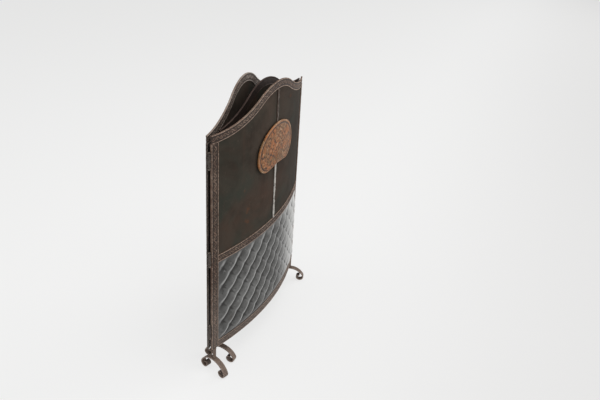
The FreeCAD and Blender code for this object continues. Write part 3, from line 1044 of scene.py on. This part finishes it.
@dataclass
class PlainSheet:
    """The dark sheet under the top rail, not quite flat."""

    name: str
    plan: Plan
    line: CamelLine
    inset: float
    half: float
    bottom: float
    seed: int
    near: float = STOCK.sheet_depth
    thick: float = STOCK.sheet_thick
    step: float = 0.006
    rows: int = 75
    wave: float = 0.00045
    wave_cell: float = 0.075
    ripple_share: float = 0.5
    ripple_cell: float = 0.03
    calm_border: float = 0.03
    tone: float = 0.5

    def skin(self) -> Skin:
        """The sheet's closed mesh."""
        x = np.linspace(-self.half, self.half, int(2 * self.half / self.step) + 1)
        top = self.line.height(self.inset, x)
        share = np.linspace(0.0, 1.0, self.rows)[:, None]
        z = self.bottom + (top - self.bottom)[None, :] * share
        grid_x = np.broadcast_to(x, z.shape)
        swell = Grain(self.seed, self.wave_cell).at(grid_x, z)
        ripple = Grain(self.seed + 1, self.ripple_cell).at(grid_x, z)
        edge = np.minimum(self.half - np.abs(grid_x), np.minimum(z - self.bottom, top[None, :] - z))
        calm = np.clip(edge / self.calm_border, 0.0, 1.0)
        wave = self.wave * (swell + self.ripple_share * ripple) * calm
        front = self.plan.place(grid_x, z, self.near + wave)
        back = self.plan.place(grid_x, z, self.near + self.thick + wave)
        return Skin.slab(front, back, np.full(z.shape, self.tone))


@dataclass(frozen=True)
class PillowPaintedLight:
    """Relief of a pressed pillow: a pale crest of painted highlight, a dark valley of painted shade and short
    dark dashes of painted shade.
    """

    crest_at: float = 0.80
    crest_wide: float = 0.14
    crest_low: float = 0.55
    valley_share: float = 0.72
    valley_wide: float = 0.24
    fold_wide: float = 0.03
    button_share: float = 0.8
    dash_share: float = 0.62
    dash_wide: float = 0.055
    dash_end: float = 0.66
    dash_ramp: float = 0.3

    def relief(self, place: Array, fall: Array, cross: Array, button: Array, fade: Array) -> Array:
        """Relief of the sheet, which carries its painted highlight and painted shade.

        Args:
            place: Place across a row of pillows, from 0 to 1.
            fall: Place along it, in pillows.
            cross: 0 on the seams between one row's pillows, 1 between them.
            button: 1 where seams meet.
            fade: 0 at the sheet's flat border, 1 inside.

        Returns:
            Relief from 0 to 1.
        """
        # Painted highlight along each crest.
        crest = np.exp(-((place - self.crest_at) / self.crest_wide) ** 2)
        crest = crest * (self.crest_low + (1 - self.crest_low) * cross)
        # Painted shade: dark dashes, valleys, folds and buttons.
        dash = self.dash_share * np.exp(-((fall - np.round(fall)) / self.dash_wide) ** 2)
        dash = dash * np.clip((self.dash_end - place) / self.dash_ramp, 0.0, 1.0)
        valley = self.valley_share * np.exp(-(place / self.valley_wide) ** 2)
        fold = np.exp(-((1 - place) / self.fold_wide) ** 2)
        dark = np.minimum(valley + fold + self.button_share * button + dash, 1.0)
        return 0.5 + (crest - dark) / 2 * np.sqrt(fade)


@dataclass
class QuiltedSheet:
    """Thin sheet pressed into a diamond pattern of pillows."""

    name: str
    plan: Plan
    half: float
    low: float
    high: float
    towards_near: bool
    seed: int
    near: float = STOCK.sheet_depth
    thick: float = STOCK.sheet_thick
    bite: float = STOCK.bite
    step_x: float = 0.065
    step_z: float = 0.063
    rise: float = 0.0074
    late: float = 1.35
    power: float = 0.72
    cross_seam: float = 0.62
    pinch: float = 0.0014
    button_spread: float = 0.0075
    lip: float = 0.0030
    side_border: float = 0.018
    top_border: float = 0.034
    low_border: float = 0.022
    fine: float = 0.0022
    uneven: float = 0.10
    uneven_cell: float = 0.05
    dent: float = 0.00018
    dent_cell: float = 0.009
    tone: PillowPaintedLight = PillowPaintedLight()

    def skin(self) -> Skin:
        """The sheet's closed mesh."""
        wide, tall = 2 * (self.half + self.bite), self.high - self.low + 2 * self.bite
        x = np.linspace(-wide / 2, wide / 2, int(wide / self.fine) + 1)
        z = np.linspace(self.low - self.bite, self.high + self.bite, int(tall / self.fine) + 1)
        grid_x, grid_z = np.meshgrid(x, z)
        across, up = grid_x / self.step_x, (grid_z - self.low) / self.step_z
        lean, fall = across - up, across + up
        place = lean - np.floor(lean)
        cross = np.abs(np.sin(math.pi * fall)) ** self.power
        pillow = np.sin(math.pi * place ** self.late) ** self.power * (1 - self.cross_seam * (1 - cross))
        from_button = (lean - np.round(lean)) ** 2 + (fall - np.round(fall)) ** 2
        button = np.exp(-from_button / self.button_spread)
        swell = 1.0 + self.uneven * Grain(self.seed, self.uneven_cell).at(grid_x, grid_z)
        dent = self.dent * Grain(self.seed + 1, self.dent_cell).at(grid_x, grid_z)
        fade = self._fade(grid_x, grid_z)
        lift = (self.rise * pillow * swell + dent - self.pinch * button * pillow) * fade
        depth = self.near - lift if self.towards_near else self.near + lift
        front = self.plan.place(grid_x, grid_z, depth)
        back = self.plan.place(grid_x, grid_z, depth + self.thick)
        return Skin.slab(front, back, self.tone.relief(place, fall, cross, button, fade))

    def _fade(self, x: Array, z: Array) -> Array:
        """Share of the pressing, from 0 at the flat border to 1 inside."""
        fade = np.ones_like(x)
        borders = ((self.half - np.abs(x), self.side_border), (self.high - z, self.top_border),
                   (z - self.low, self.low_border))
        for edge, border in borders:
            share = np.clip((edge - self.lip) / border, 0.0, 1.0)
            fade = fade * share * (2 - share)
        return fade


# ------------------------------------------------------------------ feet


@dataclass
class ScrollFoot:
    """A flat strip bent into a crown with a rolled curl at each end."""

    name: str
    centre: tuple[float, float]
    turn: float
    seed: int
    crown: float = 0.056
    curl: float = 0.012
    hook: float = 0.007
    crown_end: float = math.radians(30.0)
    curl_end: float = math.radians(-170.0)
    hook_end: float = math.radians(-300.0)
    thick: float = 0.004
    width: float = 0.018
    step: float = 0.0016
    rounding: float = 0.0011
    hammer: float = 0.0002
    flat_points: int = 8
    bends: tuple[float, ...] = (0.35, 0.8)
    hammer_cell: float = 0.007
    under_shift: float = 0.05
    edge_reach: float = 3.0
    curl_shade_reach: float = 0.034
    flat_tone: float = 0.42
    edge_tone: float = 0.45
    hammer_tone: float = 0.12
    curl_shade_tone: float = 0.34

    def _path(self) -> tuple[Array, Array]:
        """Middle line of the strip and its outward normals, from one tip to the other."""
        curl_z = self.curl + self.thick / 2
        crown_z = curl_z - (self.crown - self.curl) * math.sin(self.crown_end)
        curl_y = (self.crown - self.curl) * math.cos(self.crown_end)
        hook_y = curl_y + (self.curl - self.hook) * math.cos(self.curl_end)
        hook_z = curl_z + (self.curl - self.hook) * math.sin(self.curl_end)
        runs = [
            ((hook_y, hook_z), self.hook, self.hook_end, self.curl_end),
            ((curl_y, curl_z), self.curl, self.curl_end, self.crown_end),
            ((0.0, crown_z), self.crown, self.crown_end, math.pi / 2),
        ]
        angles, centres, radii = [], [], []
        for centre, radius, low, high in runs:
            count = max(int(radius * abs(high - low) / self.step), 6)
            part = np.linspace(low, high, count, endpoint=False)
            angles.append(part)
            centres.append(np.tile(centre, (count, 1)))
            radii.append(np.full(count, radius))
        angle, centre, radius = np.concatenate(angles), np.concatenate(centres), np.concatenate(radii)
        normal = np.stack([np.cos(angle), np.sin(angle)], -1)
        half = centre + normal * radius[:, None]
        top = np.array([[0.0, crown_z + self.crown]])
        mirror = np.array([-1.0, 1.0])
        points = np.concatenate([half, top, half[::-1] * mirror])
        normals = np.concatenate([normal, [[0.0, 1.0]], normal[::-1] * mirror])
        return points, normals

    def _section(self) -> tuple[Array, Array]:
        """Width and thickness places round the strip's section, with its rounded edges."""
        half_w, half_t, r = self.width / 2, self.thick / 2, self.rounding
        across = np.linspace(-half_w + r, half_w - r, self.flat_points)
        bends = np.array(self.bends)
        corner_w = half_w - r + r * bends
        corner_t = half_t - r * (1 - np.sin(np.arccos(bends)))
        flat = np.full(self.flat_points, half_t)
        wide = np.concatenate([across, corner_w, [half_w], corner_w[::-1], across[::-1],
                               -corner_w, [-half_w], -corner_w[::-1]])
        thick = np.concatenate([flat, corner_t, [0.0], -corner_t[::-1],
                                -flat, -corner_t, [0.0], corner_t[::-1]])
        return wide, thick

    def skin(self) -> Skin:
        """The foot's closed mesh."""
        points, normals = self._path()
        wide, thick = self._section()
        side = np.sign(thick)
        run = np.concatenate([[0.0], np.cumsum(np.linalg.norm(np.diff(points, axis=0), axis=1))])
        dents = Grain(self.seed, self.hammer_cell).at(run[:, None], (wide + self.under_shift * side)[None, :])
        lift = thick + self.hammer * dents * side
        local_y = points[:, :1] + normals[:, :1] * lift
        local_z = points[:, 1:] + normals[:, 1:] * lift
        local_x = np.broadcast_to(wide, local_y.shape)
        rings = stood(self.centre, self.turn, local_x, local_y, local_z)
        edge = np.clip(1 - (self.width / 2 - np.abs(wide)) / (self.edge_reach * self.rounding), 0.0, 1.0)
        # Painted shade: the relief darkens near both tips, inside the rolled curls.
        curl = np.exp(-(run / self.curl_shade_reach) ** 2) + np.exp(-((run[-1] - run) / self.curl_shade_reach) ** 2)
        tone = self.flat_tone + self.edge_tone * edge + self.hammer_tone * dents
        return Skin.tube(rings, tone - self.curl_shade_tone * curl[:, None])


@dataclass
class Leg:
    """The short upright bar between a post and its foot."""

    name: str
    centre: tuple[float, float]
    turn: float
    bottom: float
    top: float
    seed: int
    width: float = 0.010
    thick: float = 0.005
    rounding: float = 0.0009
    corner_points: int = 4
    rings: int = 22
    flare: float = 0.0016
    flare_share: float = 0.6
    flare_height: float = 0.004
    hammer: float = 0.0002
    hammer_cell: float = 0.006
    hammer_pitch: float = 0.003
    flat_tone: float = 0.5
    hammer_tone: float = 0.16

    def skin(self) -> Skin:
        """The leg's closed mesh, a little wider where it is welded on."""
        z = np.linspace(self.bottom, self.top, self.rings)[:, None]
        from_end = np.minimum(z - self.bottom, self.top - z)
        grow = self.flare * self.flare_share * np.exp(-((from_end / self.flare_height) ** 2))
        half_w, half_t, r = self.width / 2, self.thick / 2, self.rounding
        corner = np.linspace(0.0, math.pi / 2, self.corner_points)
        quarter = [(half_w - r + r * math.cos(a), half_t - r + r * math.sin(a)) for a in corner]
        ring = quarter + [(-w, t) for w, t in quarter[::-1]] + [(-w, -t) for w, t in quarter]
        section = np.array(ring + [(w, -t) for w, t in quarter[::-1]])
        around = np.arange(len(section))[None, :] * self.hammer_pitch
        dents = Grain(self.seed, self.hammer_cell).at(z, around)
        scale = 1 + (grow + self.hammer * dents) / half_w
        local_x, local_y = section[None, :, 0] * scale, section[None, :, 1] * scale
        rings = stood(self.centre, self.turn, local_x, local_y, np.broadcast_to(z, local_x.shape))
        return Skin.tube(rings, self.flat_tone + self.hammer_tone * dents)


# ------------------------------------------------------------------ panels


@dataclass
class Panel:
    """One framed panel: its bars, its two sheets and its finishes."""

    prefix: str
    body: Body
    plan: Plan
    half: float
    base: float
    show_near: bool
    seed: int
    bar: float = STOCK.bar_width
    bite: float = STOCK.bite
    leg_sink: float = 0.001
    iron: Finish = StampedIron()
    top_iron: Finish = StampedIron()

    @property
    def mid_top(self) -> float:
        """Height of the middle rail's upper edge."""
        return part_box(f"{self.prefix}_mid_rail")[1].z

    @property
    def camel(self) -> CamelLine:
        """The top rail's outline."""
        low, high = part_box(f"{self.prefix}_top_rail")
        end = low.z + self.bar
        return CamelLine(self.half, high.z - end, end, self.bar)

    def bars(self, posts: dict[str, float]) -> list[StampedBar]:
        """The five bars of the frame.

        Args:
            posts: Left edge of each upright by name.

        Returns:
            The bars.
        """
        camel, clear = self.camel, self.half - self.bar
        lines: dict[str, BarLine] = {"top_rail": camel}
        tall = camel.end - self.bar - self.base
        for name, left in posts.items():
            lines[name] = StraightLine((left, self.base), tall, self.bar, True)
        for name, top in (("mid_rail", self.mid_top), ("bottom_rail", self.base + self.bar)):
            lines[name] = StraightLine((-clear, top), 2 * clear, self.bar, False)
        return [StampedBar(f"{self.prefix}_{name}", line, self.plan, self.show_near, self.seed + index)
                for index, (name, line) in enumerate(lines.items())]

    def build(self, shop: Workshop, posts: dict[str, float]) -> None:
        """Make the bars and the sheets.

        Args:
            shop: Makes the pieces.
            posts: Left edge of each upright by name.
        """
        for bar in self.bars(posts):
            finish = self.top_iron if bar.name.endswith("top_rail") else self.iron
            shop.piece(f"{bar.name}_stamped", bar.skin(), self.body, Slot.IRON, finish, bar.name)
        clear = self.half - self.bar
        upper = PlainSheet(f"{self.prefix}_upper_sheet", self.plan, self.camel, self.bar - self.bite,
                           clear + self.bite, self.mid_top - self.bite, self.seed + 20)
        shop.piece(f"{upper.name}_patina", upper.skin(), self.body, Slot.DARK, DarkSheet(), upper.name)
        quilt = QuiltedSheet(f"{self.prefix}_quilted_sheet", self.plan, clear, self.base + self.bar,
                             self.mid_top - self.bar, self.show_near, self.seed + 30)
        shop.piece(f"{quilt.name}_pressed", quilt.skin(), self.body, Slot.TIN, PressedTin(), quilt.name)

    def stand(self, shop: Workshop, prefix: str, finish: Finish) -> None:
        """Make a foot and its leg.

        Args:
            shop: Makes the pieces.
            prefix: Start of their nodes' names.
            finish: Their surface.
        """
        low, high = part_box(f"{prefix}_leg")
        x, y = (low.x + high.x) / 2, (low.y + high.y) / 2
        turn = self.plan.turn_at(x)
        foot = ScrollFoot(f"{prefix}_foot", (x, y), turn, self.seed + 40)
        shop.piece(f"{foot.name}_scroll", foot.skin(), self.body, Slot.IRON, finish, foot.name)
        leg = Leg(f"{prefix}_leg", (x, y), turn, low.z - self.leg_sink, high.z, self.seed + 41)
        shop.piece(f"{leg.name}_bar", leg.skin(), self.body, Slot.IRON, finish, leg.name)


# ------------------------------------------------------------------ the tree motif


@dataclass
class TreeMotif:
    """The trunk bar and the crown-shaped copper plaque on the centre panel."""

    plan: Plan
    shoulder: float = 0.052
    notch: float = 0.007
    plate: float = 0.003
    trunk_thick: float = 0.0035
    leaf_turn: float = 0.062
    leaf_long: float = 0.017
    fan_drop: float = 0.10
    sway: float = 0.06
    sway_cell: float = 0.02
    leaf_half_wide: float = 0.46
    leaf_half_long: float = 0.48
    vein_deep: float = 0.55
    vein_wide: float = 0.09
    mark_cell: float = 0.0042
    mark_stretch: float = 0.6
    groove_at: float = 0.905
    groove_wide: float = 0.02
    groove_deep: float = 0.9
    rim_at: float = 0.925
    rim_slope: float = 0.03
    rim_tone: float = 0.72
    chase_lift: float = 0.0013
    chase_sink: float = 0.0004
    dome: float = 0.0012
    edge_fall: float = 0.0011
    bark_deep: float = 0.0013
    trunk_round: float = 0.0026
    # Relief of the trunk's back edges, kept low so that its sides carry painted shade.
    side_tone: float = 0.06
    brown_low: float = 0.01
    brown_high: float = 0.02

    def outline(self, angles: Array) -> tuple[Array, Array]:
        """Edge of the plaque seen from its inner middle.

        Args:
            angles: Directions in radians.

        Returns:
            Panel x and z of the edge.
        """
        low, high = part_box("tree_plaque")
        half, tall = (high.x - low.x) / 2, high.z - low.z
        lobe, eye = half - self.shoulder, self.shoulder
        reach = np.zeros_like(angles)
        for index, angle in enumerate(angles):
            reach[index] = self._reach(float(angle), half, tall, lobe, eye)
        return reach * np.cos(angles), low.z + eye + reach * np.sin(angles)

    def _reach(self, angle: float, half: float, tall: float, lobe: float, eye: float) -> float:
        """Distance from the inner middle to the edge in one direction."""
        cos, sin = math.cos(angle), math.sin(angle)
        if sin >= 0:
            return 1.0 / math.sqrt((cos / half) ** 2 + (sin / (tall - eye)) ** 2)
        reach = lobe * abs(cos) + math.sqrt(max(self.shoulder ** 2 - (lobe * sin) ** 2, 0.0))
        if reach * abs(cos) >= lobe:
            return reach
        slope = self.notch / lobe
        return (eye - self.notch) / (-sin - slope * abs(cos))

    def chasing(self, x: Array, z: Array, share: Array, foot: float) -> Array:
        """Relief of the plaque's face: rows of small leaves that fan out from below it, in a raised rim.

        Args:
            x: Panel x.
            z: Panel z.
            share: Place from the middle, 0, to the edge, 1.
            foot: Height of the plaque's lowest edge.

        Returns:
            Relief from 0 to 1.
        """
        up, side = z - foot + self.fan_drop, x
        fan = np.arctan2(side, up) + self.sway * Grain(71, self.sway_cell).at(x, z)
        along = np.hypot(side, up)
        row = np.floor(fan / self.leaf_turn)
        across = fan / self.leaf_turn - row - 0.5
        step = along / self.leaf_long + 0.5 * (row % 2)
        spot = step - np.floor(step) - 0.5
        from_middle = (across / self.leaf_half_wide) ** 2 + (spot / self.leaf_half_long) ** 2
        leaf = np.sqrt(np.clip(1.0 - from_middle, 0.0, 1.0))
        vein = 1.0 - self.vein_deep * np.exp(-(across / self.vein_wide) ** 2)
        small = 0.5 + 0.5 * Grain(73, self.mark_cell).at(x * self.mark_stretch, z)
        work = 0.08 + (0.62 * leaf * vein + 0.10) * (0.55 + 0.45 * small) + 0.28 * small
        rim = np.clip((share - self.rim_at) / self.rim_slope, 0.0, 1.0)
        groove = np.exp(-((share - self.groove_at) / self.groove_wide) ** 2)
        return np.clip(work * (1 - groove * self.groove_deep) * (1 - rim) + rim * self.rim_tone, 0.0, 1.0)

    def build(self, shop: Workshop) -> None:
        """Make the plaque and the trunk."""
        self._plaque(shop)
        self._trunk(shop)

    def _plaque(self, shop: Workshop) -> None:
        """Make the plaque, slightly domed, with its chased face and raised rim."""
        angles = np.linspace(0.0, 2 * math.pi, 260, endpoint=False)
        edge_x, edge_z = self.outline(angles)
        low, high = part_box("tree_plaque")
        share = np.concatenate([np.linspace(0.0, 0.88, 44), np.linspace(0.895, 1.0, 12)])[:, None]
        hub = low.z + self.shoulder
        x, z = edge_x[None, :] * share, hub + (edge_z[None, :] - hub) * share
        full = np.broadcast_to(share, x.shape)
        work = self.chasing(x, z, full, low.z)
        fall = self.edge_fall * np.clip((full - 0.985) / 0.015, 0.0, 1.0)
        dome = self.dome * (1 - full ** 2)
        depth = face_depth("tree_plaque")
        lift = self.chase_lift * work + dome - self.chase_sink - fall
        front = self.plan.place(x, z, depth - lift)
        back = self.plan.place(x, z, depth + self.plate + 0 * full)
        skin = Skin.disc(front, back, work)
        shop.piece("tree_plaque_chased", skin, Body.CENTRE, Slot.COPPER, ChasedCopper(), "tree_plaque")

    def _trunk(self, shop: Workshop) -> None:
        """Make the trunk, a rounded bar with bark nicks."""
        low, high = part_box("trunk_bar")
        plaque_low, plaque_high = (corner.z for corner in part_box("tree_plaque"))
        half = high.x
        z = np.linspace(low.z + 0.0001, high.z, int((high.z - low.z) / 0.0016))
        share = np.linspace(-1.0, 1.0, 15)
        round_off = self.trunk_round * (1 - np.sqrt(1 - (0.98 * share) ** 2))
        bark = Grain(81, 1.0)
        lines = bark.at(z[:, None] / 0.011 + share[None, :] * 0.55, share[None, :] * 1.9 + 5)
        nicks = np.clip((np.abs(lines) - 0.10) / 0.30, 0.0, 1.0)
        small = 0.5 + 0.5 * Grain(82, 1.0).at(z[:, None] / 0.0034, share[None, :] * 3.1)
        tone = np.clip(nicks * 0.75 + small * 0.25, 0.0, 1.0)
        depth = face_depth("trunk_bar")
        near = depth + round_off[None, :] + self.bark_deep * (1 - tone)
        x = np.broadcast_to(half * share[None, :], near.shape)
        height = np.broadcast_to(z[:, None], near.shape)
        front = self.plan.place(x, height, near)
        flat = np.array([1.0, -1.0]) * half
        back = self.plan.place(np.broadcast_to(flat, (len(z), 2)), np.broadcast_to(z[:, None], (len(z), 2)),
                               depth + self.trunk_thick)
        rings = np.concatenate([front, back], axis=1)
        # Painted shade: the face darkens towards both edges and the sides stay dark, standing for the shadow
        # beside the bar.
        side = np.clip((np.abs(share) - 0.80) / 0.12, 0.0, 1.0)[None, :]
        tones = np.concatenate([tone * (1 - 0.85 * side), np.full((len(z), 2), self.side_tone)], axis=1)
        finish = TrunkSteel(Step(plaque_low + self.brown_low, plaque_high - self.brown_high))
        shop.piece("trunk_bar_barked", Skin.tube(rings, tones), Body.CENTRE, Slot.STEEL, finish, "trunk_bar")


def face_depth(node: str) -> float:
    """Depth behind the bow's front at which a centred node's face starts, negative when proud."""
    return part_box(node)[0].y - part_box("centre_mid_rail")[0].y


# ------------------------------------------------------------------ the whole screen


@dataclass
class Screen:
    """The fireplace screen: centre panel, wings, tree motif, feet and hinges."""

    thick: float = STOCK.bar_thick
    bar: float = STOCK.bar_width
    foot_iron: Finish = StampedIron(name="foot_iron", worn=(0.44, 0.34, 0.29))
    # Painted shade: a darker copy of the iron for the wings' posts and lower rails, standing for the shade
    # behind the bowed panel.
    shade_dark_iron: Finish = StampedIron(
        name="shade_dark_iron", hollow=(0.010, 0.008, 0.006), skin=(0.036, 0.026, 0.020),
        pale=(0.070, 0.054, 0.044), rust=(0.08, 0.04, 0.025), worn=(0.30, 0.25, 0.21))
    # Painted reflection: a paler grey copy of the iron for the left wing's top rail, standing for the bright
    # backdrop that it mirrors.
    reflection_grey_iron: Finish = StampedIron(
        name="reflection_grey_iron", hollow=(0.030, 0.021, 0.016), skin=(0.190, 0.135, 0.106),
        pale=(0.350, 0.290, 0.250), rust=(0.170, 0.080, 0.046), worn=(0.520, 0.450, 0.400))
    # Painted shade: a darker, redder copy of the iron for the right wing's top rail.
    shade_red_iron: Finish = StampedIron(
        name="shade_red_iron", skin=(0.030, 0.014, 0.010), pale=(0.046, 0.026, 0.020),
        rust=(0.070, 0.024, 0.015), worn=(0.110, 0.072, 0.058))

    def build(self, shop: Workshop) -> None:
        """Make every piece.

        Args:
            shop: Makes the pieces.
        """
        self._centre(shop)
        self._wing(shop, Body.LEFT, True, 200, self.reflection_grey_iron)
        self._wing(shop, Body.RIGHT, False, 300, self.shade_red_iron)
        for side in ("left", "right"):
            shop.dress_node(f"centre_knuckles_{side}", HingeSteel())
            shop.dress_node(f"{side}_wing_knuckles", HingeSteel())
            shop.dress_node(f"hinge_pins_{side}", HingeSteel(name="hinge_balls", bare_share=0.8))

    def _centre(self, shop: Workshop) -> None:
        """Make the bowed centre panel with its motif and feet."""
        plan = BowedPlan.from_rail("centre_top_rail", self.thick)
        low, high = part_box("centre_top_rail")
        panel = Panel("centre", Body.CENTRE, plan, high.x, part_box("centre_bottom_rail")[0].z, True, 100)
        panel.build(shop, {"post_left": low.x, "post_right": high.x - self.bar})
        TreeMotif(plan).build(shop)
        for side in ("left", "right"):
            panel.stand(shop, f"centre_{side}", self.foot_iron)

    def _wing(self, shop: Workshop, body: Body, hinge_left: bool, seed: int, top: Finish) -> None:
        """Make one flat wing.

        Args:
            shop: Makes the pieces.
            body: The wing's body.
            hinge_left: True if its hinged side is the left one.
            seed: First seed of its random work.
            top: Finish of its top rail, a copy of the iron with painted reflection on the left wing and
                painted shade on the right wing.
        """
        prefix = body.value
        names = ("hinge_post", "free_post") if hinge_left else ("free_post", "hinge_post")
        centres = [sum(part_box(f"{prefix}_{name}"), Vector()) / 2 for name in names]
        gap = centres[1] - centres[0]
        angle = math.atan2(gap.y, gap.x)
        half = (Vector((gap.x, gap.y)).length + self.bar) / 2
        middle = (centres[0] + centres[1]) / 2
        origin = (middle.x + self.thick / 2 * math.sin(angle), middle.y - self.thick / 2 * math.cos(angle))
        panel = Panel(prefix, body, FlatPlan(origin, angle), half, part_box(f"{prefix}_bottom_rail")[0].z,
                      False, seed, iron=self.shade_dark_iron, top_iron=top)
        panel.build(shop, {names[0]: -half, names[1]: half - self.bar})
        panel.stand(shop, prefix, self.foot_iron)


# ------------------------------------------------------------------ studio


@dataclass(frozen=True)
class Lamp:
    """One soft square lamp aimed at a point."""

    name: str
    place: tuple[float, float, float]
    aim: tuple[float, float, float]
    size: float
    power: float
    tint: Colour = WHITE

    def hang(self) -> None:
        """Put the lamp up."""
        light = bpy.data.lights.new(self.name, "AREA")
        light.shape = "SQUARE"
        light.size, light.energy, light.color = self.size, self.power, self.tint
        holder = bpy.data.objects.new(self.name, light)
        holder.location = self.place
        holder.rotation_mode = "QUATERNION"
        holder.rotation_quaternion = (Vector(self.aim) - Vector(self.place)).to_track_quat("-Z", "Y")
        show(holder)


@dataclass(frozen=True)
class Studio:
    """Pale floor, soft lamps and the air's own light."""

    floor_half: float = 14.0
    air: Colour = (0.24, 0.24, 0.24)
    lamps: tuple[Lamp, ...] = (
        Lamp("overhead", (-0.4, -0.6, 3.6), (0.0, 0.0, 0.3), 4.0, 105.0),
        Lamp("right_wall", (5.8, -4.6, 2.3), (0.0, 0.0, 0.3), 4.4, 270.0),
    )

    def build(self) -> None:
        """Make the floor, the lamps and the air."""
        half = self.floor_half
        mesh = bpy.data.meshes.new("studio_floor")
        corners = [(-half, -half, 0), (half, -half, 0), (half, half, 0), (-half, half, 0)]
        mesh.from_pydata(corners, [], [(0, 1, 2, 3)])
        floor = bpy.data.objects.new("studio_floor", mesh)
        show(floor)
        mesh.materials.append(PaleFloor().material())
        for lamp in self.lamps:
            lamp.hang()
        world = bpy.data.worlds.new("studio_air")
        bpy.context.scene.world = world
        world.use_nodes = True
        background = world.node_tree.nodes["Background"]
        background.inputs["Color"].default_value = (*self.air, 1.0)
        background.inputs["Strength"].default_value = 1.0
        bpy.context.scene.view_settings.view_transform = "Standard"


@dataclass(frozen=True)
class Viewpoint:
    """A camera that looks down along the bowed panel from its left end."""

    yaw: float = math.radians(68.7)
    pitch: float = math.radians(27.38)
    roll: float = math.radians(-3.686)
    distance: float = 2.1429
    slide_right: float = -0.12671
    slide_down: float = -0.014316
    aim: tuple[float, float, float] = (0.0, -0.03505, 0.479365)
    lens: float = 41.18
    sensor: float = 36.0

    def build(self) -> None:
        """Make the camera and look through it."""
        cos_y, sin_y = math.cos(self.yaw), math.sin(self.yaw)
        forward = Vector((sin_y * math.cos(self.pitch), cos_y * math.cos(self.pitch), -math.sin(self.pitch)))
        level = Vector((cos_y, -sin_y, 0.0))
        under = forward.cross(level)
        right = math.cos(self.roll) * level + math.sin(self.roll) * under
        down = -math.sin(self.roll) * level + math.cos(self.roll) * under
        place = Vector(self.aim) - self.slide_right * right - self.slide_down * down - self.distance * forward
        data = bpy.data.cameras.new("viewpoint")
        data.lens, data.sensor_width, data.sensor_fit = self.lens, self.sensor, "HORIZONTAL"
        data.clip_start, data.clip_end = 0.05, 60.0
        camera = bpy.data.objects.new("viewpoint", data)
        turn = Matrix((right, -down, -forward)).transposed()
        camera.matrix_world = Matrix.Translation(place) @ turn.to_4x4()
        show(camera)
        bpy.context.scene.camera = camera


def main() -> None:
    """Build the studio and the screen in order."""
    logging.basicConfig(level=logging.INFO, format="%(name)s: %(message)s")
    Viewpoint().build()
    Studio().build()
    shop = Workshop()
    Screen().build(shop)
    LOG.info("%d pieces made", shop.count)


if __name__ == "__main__":
    main()
